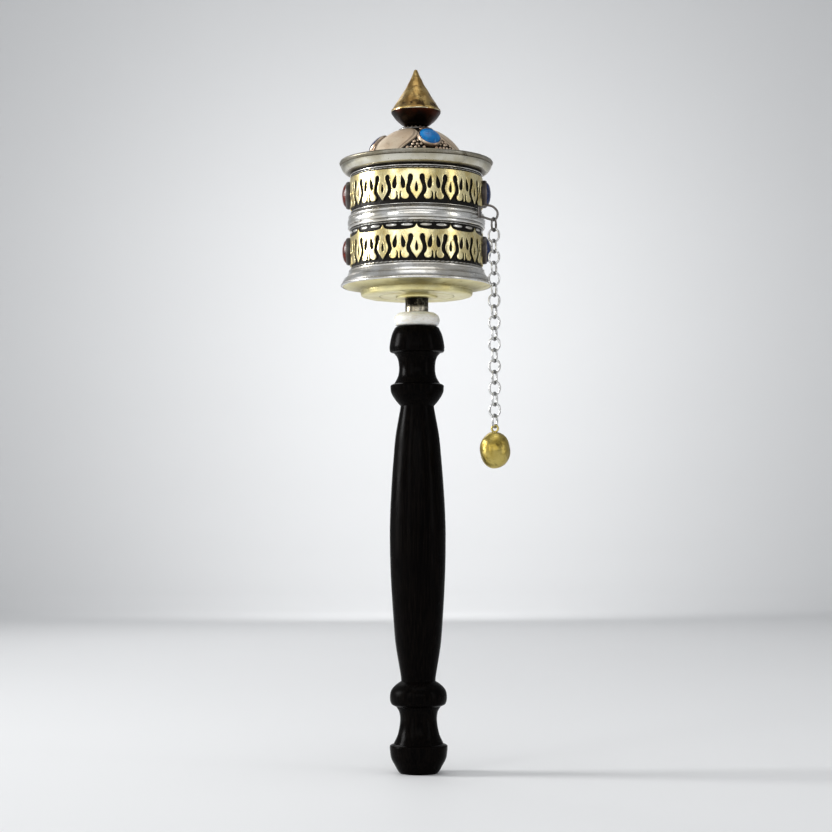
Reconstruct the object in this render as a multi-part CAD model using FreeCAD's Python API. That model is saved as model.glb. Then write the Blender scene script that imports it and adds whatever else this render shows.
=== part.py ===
"""A hand prayer wheel: a metal drum that spins on a steel rod set in a turned handle.

Everything is in millimetres. The origin is the centre of the handle's flat foot, +Z runs up the
spindle, and -Y is the front. Round pieces are turned outlines in the radius-height plane.
"""

import math
import os

from FreeCAD import Matrix, Vector
import Part

# ---- driving dimensions -------------------------------------------------------------------

TOTAL_HEIGHT = 280.0
HANDLE_TOP = 176.8
PLAY = 0.1  # end gap between pieces that turn or lift against each other
FIT = 0.08  # radial gap of a piece that turns on the spindle

SPINDLE_R = 2.0
SPINDLE_FOOT = 117.0
THREAD_R = 1.6
THREAD_PITCH = 0.7
THREAD_DEPTH = 0.3
SHOULDER_Z = 256.4
BORE_R = SPINDLE_R + FIT

RING_R = 9.1
RING_HEIGHT = 5.6

TUBE_R = 4.6
TUBE_WALL = 0.8

SHEET = 0.8
DISH_Z = 188.9
DISH_R = 22.4
SHELL_R = 25.9
SHELL_WALL = 0.6
SHELL_BOTTOM = 193.2
SHELL_TOP = 237.9
SKIRT_R = 30.3
RIM_R = 30.6

PLATE_R = SHELL_R + 0.05
PLATE_THICK = 0.55
PLATE_SPANS = {"lower": (200.8, 212.6), "upper": (223.6, 235.8)}
MOTIFS = 12
BELT_R = 27.4  # the widest of the middle ring
PEAK_RISE = 1.7  # how far the lower plate's points stand above its straight top edge

STONE_HALF = (4.9, 4.0)  # half lengths, up the drum and round it
BEZEL_GAP = 0.05
BEZEL_WALL = 0.6
BEZEL_REACH = 28.0
STONE_REACH = 29.7
STONE_TURN = {"coral": 178.0, "lapis": -2.0}  # degrees from +X, seen from above
STONE_Z = {"lower": 207.2, "upper": 229.6}

DOME_R = 20.4
DOME_CENTRE_Z = 235.6
DOME_FOOT_Z = 241.3
DECK_R = 19.85  # inner edge of the rim's sloping top, just outside the dome
DOME_STONES = {"turquoise": -70.0, "lapis": 170.0, "coral": 50.0}
DOME_STONE_TILT = 47.0  # degrees off the vertical
DOME_STONE_HALF = (4.6, 4.2)  # half lengths, down the dome and round it
DOME_STONE_RISE = 2.9
PETAL_THICK = 0.5

SEAM_R = 9.9
SEAM_Z = 262.8
NECK_R = 3.9
FINIAL_Z = 256.6

LINKS = 19
LINK_LONG = 5.94
LINK_WIDE = 5.1
LINK_WIRE_R = 0.4
EYE_WIRE_R = 0.45
LINK_GAP = 0.06
CHAIN_TURN = -25.0  # degrees from +X
CHAIN_R = 33.4
EYE_LOW_Z = 217.2

BALL_R = 6.0
BALL_TOP = 134.1
BALL_BOTTOM = 120.0

UP = Vector(0, 0, 1)


# ---- drawing helpers ----------------------------------------------------------------------


def at(radius, height):
    """A point of the radius-height plane."""
    return Vector(radius, 0, height)


class Outline:
    """A closed outline in the radius-height plane, drawn one stretch at a time."""

    def __init__(self, radius, height):
        self.start = self.here = at(radius, height)
        self.edges = []

    def line(self, *points):
        for radius, height in points:
            end = at(radius, height)
            self.edges.append(Part.LineSegment(self.here, end).toShape())
            self.here = end
        return self

    def arc(self, through, to):
        end = at(*to)
        self.edges.append(Part.Arc(self.here, at(*through), end).toShape())
        self.here = end
        return self

    def curve(self, *points):
        spline = Part.BSplineCurve()
        spline.interpolate([self.here] + [at(*p) for p in points])
        self.edges.append(spline.toShape())
        self.here = at(*points[-1])
        return self

    def turned(self):
        """The solid that the outline sweeps round the Z axis."""
        closing = Part.LineSegment(self.here, self.start).toShape()
        face = Part.Face(Part.Wire(self.edges + [closing]))
        solid = face.revolve(Vector(0, 0, 0), UP, 360)
        return solid if solid.Volume > 0 else solid.reversed()


def tube(inner, outer, low, high):
    """A plain round tube between two heights."""
    body = Part.makeCylinder(outer, high - low, at(0, low))
    return body.cut(Part.makeCylinder(inner, high - low + 2, at(0, low - 1)))


def spun(shape, degrees):
    """A copy turned about the Z axis."""
    copy = shape.copy()
    copy.rotate(Vector(0, 0, 0), UP, degrees)
    return copy


def ring_of(shape, count, first=0.0):
    """Copies spaced evenly about the Z axis."""
    return [spun(shape, first + 360.0 * i / count) for i in range(count)]


def wire_loop(edges, radius, start, direction):
    """A round wire bent along a closed path."""
    section = Part.Wire(Part.Circle(start, direction, radius).toShape())
    pipe = Part.Wire(edges).makePipeShell([section], True, True)
    return pipe if pipe.Volume > 0 else pipe.reversed()


def stretched(shape, x, y, z):
    """A copy scaled by a different factor along each axis."""
    matrix = Matrix()
    matrix.scale(Vector(x, y, z))
    return shape.transformGeometry(matrix)


def solids_of(shape):
    """The solids inside a shape, as a plain list."""
    return list(shape.Solids) if shape.Solids else [shape]


# ---- handle, spindle and bearing ----------------------------------------------------------


def handle():
    """The turned handle: foot, two coves between beads, long belly grip and knob."""
    blank = (
        Outline(0, 0)
        .line((7.4, 0))
        .curve((8.1, 0.8), (9.2, 2.7), (10.9, 6.0), (11.5, 9.6))
        .arc((11.45, 10.9), (10.9, 11.3))
        .line((9.9, 11.7))
        .curve((8.2, 15.5), (7.3, 20.8), (7.65, 24.2), (8.8, 26.3))
        .curve((10.7, 27.4), (11.3, 29.9), (10.8, 32.7), (9.2, 34.7), (6.75, 36.5))
        .curve((9.3, 54.1), (11.1, 94.0), (9.0, 130.5), (6.6, 145.3))
        .curve((8.7, 147.8), (10.35, 150.7), (10.67, 153.2))
        .line((10.4, 153.7), (9.1, 154.3))
        .curve((7.6, 157.2), (7.15, 160.7), (7.8, 164.5), (9.2, 166.4))
        .line((10.5, 166.8), (10.85, 167.3))
        .curve((10.9, 169.2), (10.1, 173.4), (8.9, 176.2))
        .arc((8.7, 176.6), (8.3, HANDLE_TOP))
        .line((0, HANDLE_TOP))
        .turned()
    )
    hole = Part.makeCylinder(SPINDLE_R, HANDLE_TOP - SPINDLE_FOOT + 1, at(0, SPINDLE_FOOT))
    return blank.cut(hole)


def spindle():
    """The steel rod, with a shoulder and ring grooves that stand for its thread."""
    rod = Outline(0, SPINDLE_FOOT).line((SPINDLE_R, SPINDLE_FOOT), (SPINDLE_R, SHOULDER_Z))
    turns = 9
    z = SHOULDER_Z
    root = THREAD_R - THREAD_DEPTH
    rod.line((root, z))
    for _ in range(turns):
        rod.line((THREAD_R, z + THREAD_PITCH / 2), (root, z + THREAD_PITCH))
        z += THREAD_PITCH
    return rod.line((root, z + 0.5), (0, z + 0.9)).turned()


def shell_bearing_ring():
    """The polished white ring that the drum runs on, loose on the spindle."""
    low = HANDLE_TOP + PLAY
    high = low + RING_HEIGHT
    return (
        Outline(BORE_R, low)
        .line((RING_R - 1.1, low))
        .curve((RING_R, low + 2.4), (RING_R - 0.25, low + 4.2), (RING_R - 1.6, high - 0.1))
        .line((RING_R - 2.2, high), (BORE_R, high))
        .turned()
    )


def lower_bearing_tube():
    """The steel ferrule under the drum, soldered through the bottom plate."""
    low = HANDLE_TOP + RING_HEIGHT + 2 * PLAY
    return tube(TUBE_R - TUBE_WALL, TUBE_R, low, DISH_Z + 3.0)


def lower_bush():
    """The brass bearing inside the ferrule."""
    low = HANDLE_TOP + RING_HEIGHT + 2 * PLAY + 0.3
    return tube(BORE_R, TUBE_R - TUBE_WALL, low, DISH_Z + 4.2)


def boss_ring():
    """The raised ring that covers the solder round the ferrule."""
    return (
        Outline(TUBE_R, DISH_Z)
        .line((TUBE_R, DISH_Z - 0.9))
        .line((TUBE_R + 2.9, DISH_Z - 0.9))
        .arc((TUBE_R + 3.5, DISH_Z - 0.6), (TUBE_R + 3.7, DISH_Z))
        .turned()
    )


# ---- drum ---------------------------------------------------------------------------------


def bottom_plate():
    """The spun brass bottom with its shallow dish."""
    low, high = DISH_Z, DISH_Z + SHEET
    return (
        Outline(TUBE_R, low)
        .line((DISH_R - 1.2, low))
        .arc((DISH_R - 0.45, low + 0.35), (DISH_R - 0.15, low + 1.1))
        .line((DISH_R, low + 2.5), (29.4, 193.0), (29.4, 193.8), (DISH_R - 0.7, 192.2))
        .line((DISH_R - 0.95, high + 0.45))
        .line((DISH_R - 1.4, high), (TUBE_R, high))
        .turned()
    )


def bottom_skirt():
    """The flared silver moulding round the foot of the drum."""
    return (
        Outline(SHELL_R, 193.15)
        .line((29.4, 193.85), (29.4, 192.9), (SKIRT_R - 0.4, 192.9))
        .arc((SKIRT_R, 193.3), (SKIRT_R - 0.3, 193.9))
        .line((28.75, 196.0), (28.35, 196.1))
        .arc((27.5, 197.1), (27.0, 198.3))
        .line((26.9, 198.4))
        .arc((27.15, 198.9), (26.7, 199.3))
        .line((SHELL_R, 199.4))
        .turned()
    )


def drum_shell():
    """The blackened tube that carries every other drum piece."""
    return tube(SHELL_R - SHELL_WALL, SHELL_R, SHELL_BOTTOM, SHELL_TOP)


def middle_ring():
    """The silver moulding between the two bands."""
    return (
        Outline(SHELL_R, 215.6)
        .line((26.9, 215.6))
        .arc((27.35, 216.15), (26.95, 216.75))
        .line((26.75, 216.9), (27.05, 217.05))
        .arc((BELT_R, 218.3), (27.05, 219.55))
        .line((26.7, 219.75), (26.95, 219.9))
        .arc((27.2, 220.5), (26.9, 221.1))
        .line((26.4, 221.3), (26.2, 221.8), (SHELL_R, 221.8))
        .turned()
    )


def border_wires():
    """Fine wires soldered along the edges of the bands."""
    wires = []
    for height, radius in ((237.3, 0.42), (236.45, 0.26), (222.2, 0.26), (215.2, 0.26), (199.8, 0.3)):
        wires.append(Part.makeTorus(SHELL_R + radius + 0.02, radius, at(0, height)))
    return wires


def border_beads():
    """Oval beads in the groove over the lower band, two between each pair of points."""
    bead = stretched(Part.makeSphere(1.0), 0.5, 1.5, 0.55)
    bead.translate(Vector(SHELL_R, 0, 214.0))
    bead = bead.cut(Part.makeCylinder(SHELL_R + 0.02, 10, at(0, 209)))
    pitch = 360.0 / MOTIFS
    offset = pitch * 0.36
    front = -90.0
    return ring_of(bead, MOTIFS, front - offset) + ring_of(bead, MOTIFS, front + offset)


def band_plate(name):
    """A pierced band: a slot and two drops in each motif, and round seats for the stones."""
    low, high = PLATE_SPANS[name]
    height = high - low
    rise = PEAK_RISE if name == "lower" else 0.0
    plate = tube(PLATE_R, PLATE_R + PLATE_THICK, low, high + rise)
    reach = PLATE_R + PLATE_THICK + 1
    pitch = 360.0 / MOTIFS
    cutters = []
    if rise:
        half = PLATE_R * math.radians(pitch / 2)
        notch = Part.makePolygon(
            [
                Vector(SHELL_R - 1, 1.6 - half, high),
                Vector(SHELL_R - 1, half - 1.6, high),
                Vector(SHELL_R - 1, half, high + rise + 0.1),
                Vector(SHELL_R - 1, -half, high + rise + 0.1),
                Vector(SHELL_R - 1, 1.6 - half, high),
            ]
        )
        gap = Part.Face(notch).extrude(Vector(3, 0, 0))
        cutters += ring_of(gap, MOTIFS, -90 + pitch / 2)
    slot = Part.makeBox(3, 1.0, height * 0.62, Vector(SHELL_R - 1, -0.5, low + height * 0.12))
    cutters += ring_of(slot, MOTIFS, -90 + pitch / 2)
    for side in (-1, 1):
        drop = stretched(Part.makeCylinder(1, 3, Vector(SHELL_R - 1, 0, 0), Vector(1, 0, 0)), 1, 1.2, 2.6)
        drop.translate(Vector(0, side * 2.9, low + height * 0.48))
        cutters += ring_of(drop, MOTIFS, -90)
    for turn in STONE_TURN.values():
        long, wide = (half + BEZEL_GAP + BEZEL_WALL + 0.1 for half in STONE_HALF)
        cutters.append(on_side(oval_prism(long, wide, 0, reach), turn, STONE_Z[name]))
    return plate.cut(cutters)


def cabochon(half_long, half_wide, back, girdle, crown):
    """An oval stone standing up +Z: a straight girdle under a low crown, long along X."""
    depth = (girdle - back) / crown
    diagonal = math.sqrt(0.5)
    stone = Outline(0, -depth).line((1, -depth), (1, 0)).arc((diagonal, diagonal), (0, 1)).turned()
    stone = stretched(stone, half_long, half_wide, crown)
    stone.translate(at(0, girdle))
    return stone


def oval_cup(half_long, half_wide, wall, low, high):
    """The upright oval strip that holds a stone."""
    outer = oval_prism(half_long + wall, half_wide + wall, low, high)
    return outer.cut(oval_prism(half_long, half_wide, low - 1, high + 1))


def oval_prism(half_long, half_wide, low, high):
    """An upright oval column, long along X."""
    column = Part.makeCylinder(1.0, high - low, at(0, low))
    return stretched(column, half_long, half_wide, 1)


def on_side(shape, turn, height):
    """Moves a shape that stands up +Z to lie along a radius of the drum, long way up."""
    placed = shape.copy()
    placed.rotate(Vector(0, 0, 0), Vector(0, 1, 0), 90)
    placed.translate(at(0, height))
    return spun(placed, turn)


def drum_stone(turn, height):
    """One oval cabochon on the side of the drum."""
    girdle = BEZEL_REACH - 0.4
    return on_side(cabochon(*STONE_HALF, SHELL_R + 0.1, girdle, STONE_REACH - girdle), turn, height)


def drum_bezel(turn, height):
    """The cup round one of the drum's stones, fitted to the curve of the shell."""
    long, wide = (half + BEZEL_GAP for half in STONE_HALF)
    cup = on_side(oval_cup(long, wide, BEZEL_WALL, SHELL_R - 1.0, BEZEL_REACH), turn, height)
    return solids_of(cup.cut(Part.makeCylinder(SHELL_R + 0.02, 20, at(0, height - 10))))[0]


def chain_eye():
    """The wire eye on the middle ring. Its lowest point is where the chain hangs."""
    root, low = 27.2, EYE_LOW_Z
    bend_r = 1.5
    lean = math.radians(20)
    outer = at(CHAIN_R + bend_r, low + bend_r)
    leave = at(CHAIN_R - bend_r * math.sin(lean), low + bend_r * (1 - math.cos(lean)))
    foot = at(root, leave.z + (leave.x - root) * math.tan(lean))
    edges = [
        Part.Arc(at(root, low + 4.9), at(30.3, low + 6.1), outer).toShape(),
        Part.Arc(outer, at(CHAIN_R, low), leave).toShape(),
        Part.LineSegment(leave, foot).toShape(),
    ]
    section = Part.Wire(Part.Circle(at(root, low + 4.9), edges[0].tangentAt(0), EYE_WIRE_R).toShape())
    wire = Part.Wire(edges).makePipeShell([section], True, True)
    lug_thick, lug_wide, lug_tall = 1.2, 2.4, 4.8
    lug = Part.makeBox(lug_thick, lug_wide, lug_tall, Vector(root - 0.5, -lug_wide / 2, low + 1.2))
    belt = Part.makeCylinder(BELT_R + 0.02, 2 * lug_tall, at(0, low - 1.0))
    eye = wire.fuse(lug).cut(belt)
    return spun(max(eye.Solids, key=lambda solid: solid.Volume), CHAIN_TURN)


# ---- lid ----------------------------------------------------------------------------------


def lid_rim():
    """The flared silver rim of the lid, with the spigot that plugs into the shell."""
    mouth = SHELL_R - SHELL_WALL - 2 * PLAY
    low = SHELL_TOP + PLAY
    return (
        Outline(mouth, low - 5.0)
        .line((mouth, low), (27.3, low))
        .curve((28.7, low + 0.55), (29.7, low + 1.7), (30.1, low + 2.9))
        .line((29.9, low + 3.05), (30.2, low + 3.3))
        .arc((RIM_R, low + 4.1), (30.1, low + 4.75))
        .line((29.5, low + 4.7), (DECK_R, DOME_FOOT_Z), (DECK_R, DOME_FOOT_Z - SHEET))
        .line((mouth - 0.7, DOME_FOOT_Z - SHEET), (mouth - 0.7, low - 5.0))
        .turned()
    )


def dome_shell(inner, outer):
    """The part of a hollow ball, centred as the dome is, that lies above the lid's rim."""
    centre = at(0, DOME_CENTRE_Z)
    ball = Part.makeSphere(outer, centre).cut(Part.makeSphere(inner, centre))
    return ball.common(Part.makeCylinder(40, 40, at(0, DOME_FOOT_Z + 0.05)))


def lid_dome():
    """The domed top, with the hole for its bush."""
    return dome_shell(DOME_R - SHEET, DOME_R).cut(Part.makeCylinder(3.6, 60, at(0, 220)))


def lid_bush():
    """The brass bearing in the top of the dome."""
    return tube(BORE_R, 3.6, 251.5, SHOULDER_Z - PLAY)


def dome_petals():
    """Three broad smooth petals between the stones."""
    near, far = 7.4, 19.3
    petals = []
    for turn in DOME_STONES.values():
        half_near, half_far = math.radians(24), math.radians(29)
        corners = [(near, -half_near), (far, -half_far), (far, half_far), (near, half_near)]
        points = [Vector(r * math.cos(a), r * math.sin(a), 230) for r, a in corners]
        edges = [
            Part.LineSegment(points[0], points[1]).toShape(),
            Part.Arc(points[1], Vector(far, 0, 230), points[2]).toShape(),
            Part.LineSegment(points[2], points[3]).toShape(),
            Part.Arc(points[3], Vector(near, 0, 230), points[0]).toShape(),
        ]
        prism = Part.Face(Part.Wire(edges)).extrude(Vector(0, 0, 60))
        skin = dome_shell(DOME_R + 0.02, DOME_R + PETAL_THICK)
        petals.append(spun(skin.common(prism).Solids[0], turn + 60))
    return petals


def on_dome(shape, tilt, turn):
    """Moves a shape built over the origin, standing up +Z, to a place on the dome."""
    placed = shape.copy()
    placed.rotate(Vector(0, 0, 0), Vector(0, 1, 0), tilt)
    placed.rotate(Vector(0, 0, 0), UP, turn)
    placed.translate(at(0, DOME_CENTRE_Z))
    return placed


def dome_bezel(turn):
    """The oval cup round one of the dome's stones."""
    long, wide = (half + BEZEL_GAP for half in DOME_STONE_HALF)
    cup = oval_cup(long, wide, BEZEL_WALL, DOME_R - 2, DOME_R + 1.3).cut(Part.makeSphere(DOME_R + 0.02))
    return on_dome(solids_of(cup)[0], DOME_STONE_TILT, turn)


def dome_stone(turn):
    """One oval cabochon of the dome."""
    girdle = DOME_R + 0.9
    stone = cabochon(*DOME_STONE_HALF, DOME_R + 0.1, girdle, DOME_STONE_RISE - 0.9)
    return on_dome(stone, DOME_STONE_TILT, turn)


def dome_granules():
    """Small balls along the foot of the dome, under each stone."""
    radius, tilt, step, each_side = 0.8, 65.5, 5.2, 5
    ball = Part.makeSphere(radius, at(0, DOME_R + 0.55)).cut(Part.makeSphere(DOME_R + 0.02))
    turns = [turn + step * i for turn in DOME_STONES.values() for i in range(-each_side, each_side + 1)]
    return [on_dome(solids_of(ball)[0], tilt, turn) for turn in turns]


def dome_border_wire():
    """The wire in the corner between dome and rim."""
    return Part.makeTorus(DECK_R + 0.45, 0.4, at(0, DOME_FOOT_Z + 0.62))


def collar_beads():
    """The ring of beads under the finial."""
    radius, tilt, count = 0.7, 14.3, 20
    ball = Part.makeSphere(radius, at(0, DOME_R + 0.5)).cut(Part.makeSphere(DOME_R + 0.02))
    return [on_dome(solids_of(ball)[0], tilt, 360.0 * i / count) for i in range(count)]


def lid_collar():
    """The plain wire outside the collar beads."""
    radius, wire = 6.6, 0.42
    height = DOME_CENTRE_Z + math.sqrt((DOME_R + wire + 0.03) ** 2 - radius**2)
    return Part.makeTorus(radius, wire, at(0, height))


# ---- finial -------------------------------------------------------------------------------


def finial_cone():
    """The upper sheet-brass cone, with a ball-shaped tip, folded out at its seam."""
    tip_r = 0.9
    lean = math.radians(29.2)
    halfway = (lean + math.pi / 2) / 2
    centre = TOTAL_HEIGHT - tip_r
    return (
        Outline(SEAM_R, SEAM_Z)
        .line((SEAM_R, SEAM_Z + 0.35), (tip_r * math.cos(lean), centre + tip_r * math.sin(lean)))
        .arc((tip_r * math.cos(halfway), centre + tip_r * math.sin(halfway)), (0, TOTAL_HEIGHT))
        .line((0, TOTAL_HEIGHT - 2.4), (SEAM_R - 1.25, SEAM_Z))
        .turned()
    )


def finial_bowl():
    """The lower sheet-brass bowl, seamed to the cone and soldered to the nut."""
    return (
        Outline(3.0, FINIAL_Z)
        .line((NECK_R, FINIAL_Z))
        .curve((5.9, 257.9), (8.2, 260.0), (SEAM_R, SEAM_Z - 0.45))
        .line((SEAM_R, SEAM_Z - 0.02), (SEAM_R - 0.7, SEAM_Z - 0.02))
        .curve((7.7, 260.5), (5.5, 258.5), (3.7, 257.3))
        .line((3.0, 257.3))
        .turned()
    )


def finial_nut():
    """The threaded sleeve that screws the finial to the spindle."""
    return tube(THREAD_R + 0.06, 3.0, FINIAL_Z, FINIAL_Z + 8.0)


# ---- scroll -------------------------------------------------------------------------------

SCROLL_LOW, SCROLL_HIGH = 193.4, 235.6
CORE_R = 3.2
SCROLL_R = 23.4


def scroll_core():
    """The paper tube that the scroll is wound on."""
    return tube(BORE_R + 0.3, CORE_R, SCROLL_LOW, SCROLL_HIGH)


def paper_scroll():
    """The wound paper strip, as one thick roll."""
    return tube(CORE_R, SCROLL_R, SCROLL_LOW, SCROLL_HIGH)


def scroll_wrapper():
    """The band of coloured paper round the roll."""
    return tube(SCROLL_R, SCROLL_R + 0.3, SCROLL_LOW + 5, SCROLL_HIGH - 5)


def scroll_ties():
    """Two threads tied round the wrapper."""
    radius = 0.28
    heights = (SCROLL_LOW + 12, SCROLL_HIGH - 12)
    return [Part.makeTorus(SCROLL_R + 0.32 + radius, radius, at(0, z)) for z in heights]


# ---- chain and weight ---------------------------------------------------------------------


def link_centre(number):
    """The height of a link's middle, counting from 1 at the top."""
    hang = LINK_LONG / 2 - LINK_WIRE_R
    first = EYE_LOW_Z + EYE_WIRE_R + LINK_WIRE_R + LINK_GAP - hang
    pitch = 2 * hang - 2 * LINK_WIRE_R - LINK_GAP
    return first - (number - 1) * pitch


def chain_link(number):
    """An oval link. Odd links lie across the drum's radius, even ones along it."""
    half = LINK_WIDE / 2 - LINK_WIRE_R
    straight = (LINK_LONG - LINK_WIDE) / 2
    corners = [Vector(x * half, 0, z * straight) for x, z in ((1, -1), (1, 1), (-1, 1), (-1, -1))]
    peak = Vector(0, 0, straight + half)
    edges = [
        Part.LineSegment(corners[0], corners[1]).toShape(),
        Part.Arc(corners[1], peak, corners[2]).toShape(),
        Part.LineSegment(corners[2], corners[3]).toShape(),
        Part.Arc(corners[3], peak.negative(), corners[0]).toShape(),
    ]
    link = wire_loop(edges, LINK_WIRE_R, corners[0], UP)
    if number % 2:
        link = spun(link, 90)
    link.translate(Vector(CHAIN_R, 0, link_centre(number)))
    return spun(link, CHAIN_TURN)


def weight_loop():
    """The brass ring on top of the weight."""
    radius, wire = 1.3, EYE_WIRE_R
    last = link_centre(LINKS) - (LINK_LONG / 2 - LINK_WIRE_R)
    centre = last + LINK_WIRE_R + wire + LINK_GAP - radius
    loop = Part.makeTorus(radius, wire, at(0, 0), Vector(0, 1, 0))
    loop.translate(Vector(CHAIN_R, 0, centre))
    stem = BALL_TOP + 0.02
    keep = Part.makeBox(8, 8, 8, Vector(CHAIN_R - 4, -4, stem))
    return spun(loop.common(keep).Solids[0], CHAIN_TURN)


def ball_weight():
    """The cast brass weight, a little taller than it is wide."""
    middle = (BALL_TOP + BALL_BOTTOM) / 2 + 0.2
    ball = (
        Outline(0, BALL_BOTTOM)
        .line((2.4, BALL_BOTTOM))
        .curve((4.6, BALL_BOTTOM + 1.5), (BALL_R, middle), (4.2, BALL_TOP - 1.9), (1.9, BALL_TOP - 0.2))
        .line((1.6, BALL_TOP), (0, BALL_TOP))
        .turned()
    )
    ball.translate(Vector(CHAIN_R, 0, 0))
    return spun(ball, CHAIN_TURN)


# ---- assembly -----------------------------------------------------------------------------


def all_parts():
    """Every node's name with its solids."""
    parts = {
        "handle": handle(),
        "spindle": spindle(),
        "shell_bearing_ring": shell_bearing_ring(),
        "lower_bearing_tube": lower_bearing_tube(),
        "lower_bush": lower_bush(),
        "boss_ring": boss_ring(),
        "bottom_plate": bottom_plate(),
        "bottom_skirt": bottom_skirt(),
        "drum_shell": drum_shell(),
        "lower_band_plate": band_plate("lower"),
        "upper_band_plate": band_plate("upper"),
        "middle_ring": middle_ring(),
        "border_wires": border_wires(),
        "border_beads": border_beads(),
        "chain_eye": chain_eye(),
        "lid_rim": lid_rim(),
        "lid_dome": lid_dome(),
        "lid_bush": lid_bush(),
        "dome_petals": dome_petals(),
        "dome_granules": dome_granules(),
        "dome_border_wire": dome_border_wire(),
        "collar_beads": collar_beads(),
        "lid_collar": lid_collar(),
        "finial_cone": finial_cone(),
        "finial_bowl": finial_bowl(),
        "finial_nut": finial_nut(),
        "scroll_core": scroll_core(),
        "paper_scroll": paper_scroll(),
        "scroll_wrapper": scroll_wrapper(),
        "scroll_ties": scroll_ties(),
        "weight_loop": weight_loop(),
        "ball_weight": ball_weight(),
        "drum_bezels": [],
        "dome_bezels": [dome_bezel(turn) for turn in DOME_STONES.values()],
    }
    for stone, turn in STONE_TURN.items():
        parts["drum_bezels"] += [drum_bezel(turn, height) for height in STONE_Z.values()]
        parts[f"drum_{stone}_stones"] = [drum_stone(turn, height) for height in STONE_Z.values()]
    for stone, turn in DOME_STONES.items():
        parts[f"dome_{stone}_stone"] = dome_stone(turn)
    for number in range(1, LINKS + 1):
        parts[f"chain_link_{number:02d}"] = chain_link(number)
    return parts


def main():
    os.makedirs("parts", exist_ok=True)
    for name, made in all_parts().items():
        solids = made if isinstance(made, list) else solids_of(made)
        shape = solids[0] if len(solids) == 1 else Part.makeCompound(solids)
        if not shape.isValid():
            print("not valid:", name)
        shape.exportStep(f"parts/{name}.step")
        print(f"{name}: {len(solids)} solid(s), {sum(s.Volume for s in solids):.1f} mm3")


main()
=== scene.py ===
"""Looks of a hand prayer wheel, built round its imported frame.

Lengths are written in millimetres and turned into metres where a mesh is made. The origin is the
centre of the handle's foot, +Z runs up the spindle, and -Y is the front.
"""

import logging
import math
from dataclasses import dataclass, field
from enum import Enum
from functools import lru_cache
from typing import Iterable, Optional, Protocol

import bmesh
import bpy
from mathutils import Matrix, Vector, noise


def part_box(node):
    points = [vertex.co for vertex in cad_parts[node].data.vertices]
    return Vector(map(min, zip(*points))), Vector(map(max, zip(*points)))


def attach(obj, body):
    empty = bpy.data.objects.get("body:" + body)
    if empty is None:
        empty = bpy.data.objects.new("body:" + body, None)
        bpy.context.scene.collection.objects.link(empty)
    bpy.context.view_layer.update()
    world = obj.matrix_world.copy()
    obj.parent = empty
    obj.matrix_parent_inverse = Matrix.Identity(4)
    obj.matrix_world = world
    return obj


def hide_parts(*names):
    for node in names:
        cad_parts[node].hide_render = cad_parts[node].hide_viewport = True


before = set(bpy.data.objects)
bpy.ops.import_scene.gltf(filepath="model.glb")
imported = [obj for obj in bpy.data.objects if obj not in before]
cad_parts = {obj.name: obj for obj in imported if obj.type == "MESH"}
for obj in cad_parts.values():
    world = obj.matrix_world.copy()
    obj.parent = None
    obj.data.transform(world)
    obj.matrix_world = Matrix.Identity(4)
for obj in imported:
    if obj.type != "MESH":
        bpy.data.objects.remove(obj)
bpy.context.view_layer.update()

log = logging.getLogger("prayer_wheel")

MM = 0.001
FRONT = math.radians(-90.0)
# Per-vertex value that darkens grooves, recesses and the places where parts meet: partly tarnish and grime,
# partly painted shade.
GRIME_AND_SHADE = "grime_and_shade"
ROUND = 128
Colour = tuple[float, float, float]
Point = tuple[float, ...]


# ---- node graphs --------------------------------------------------------------------------


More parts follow.
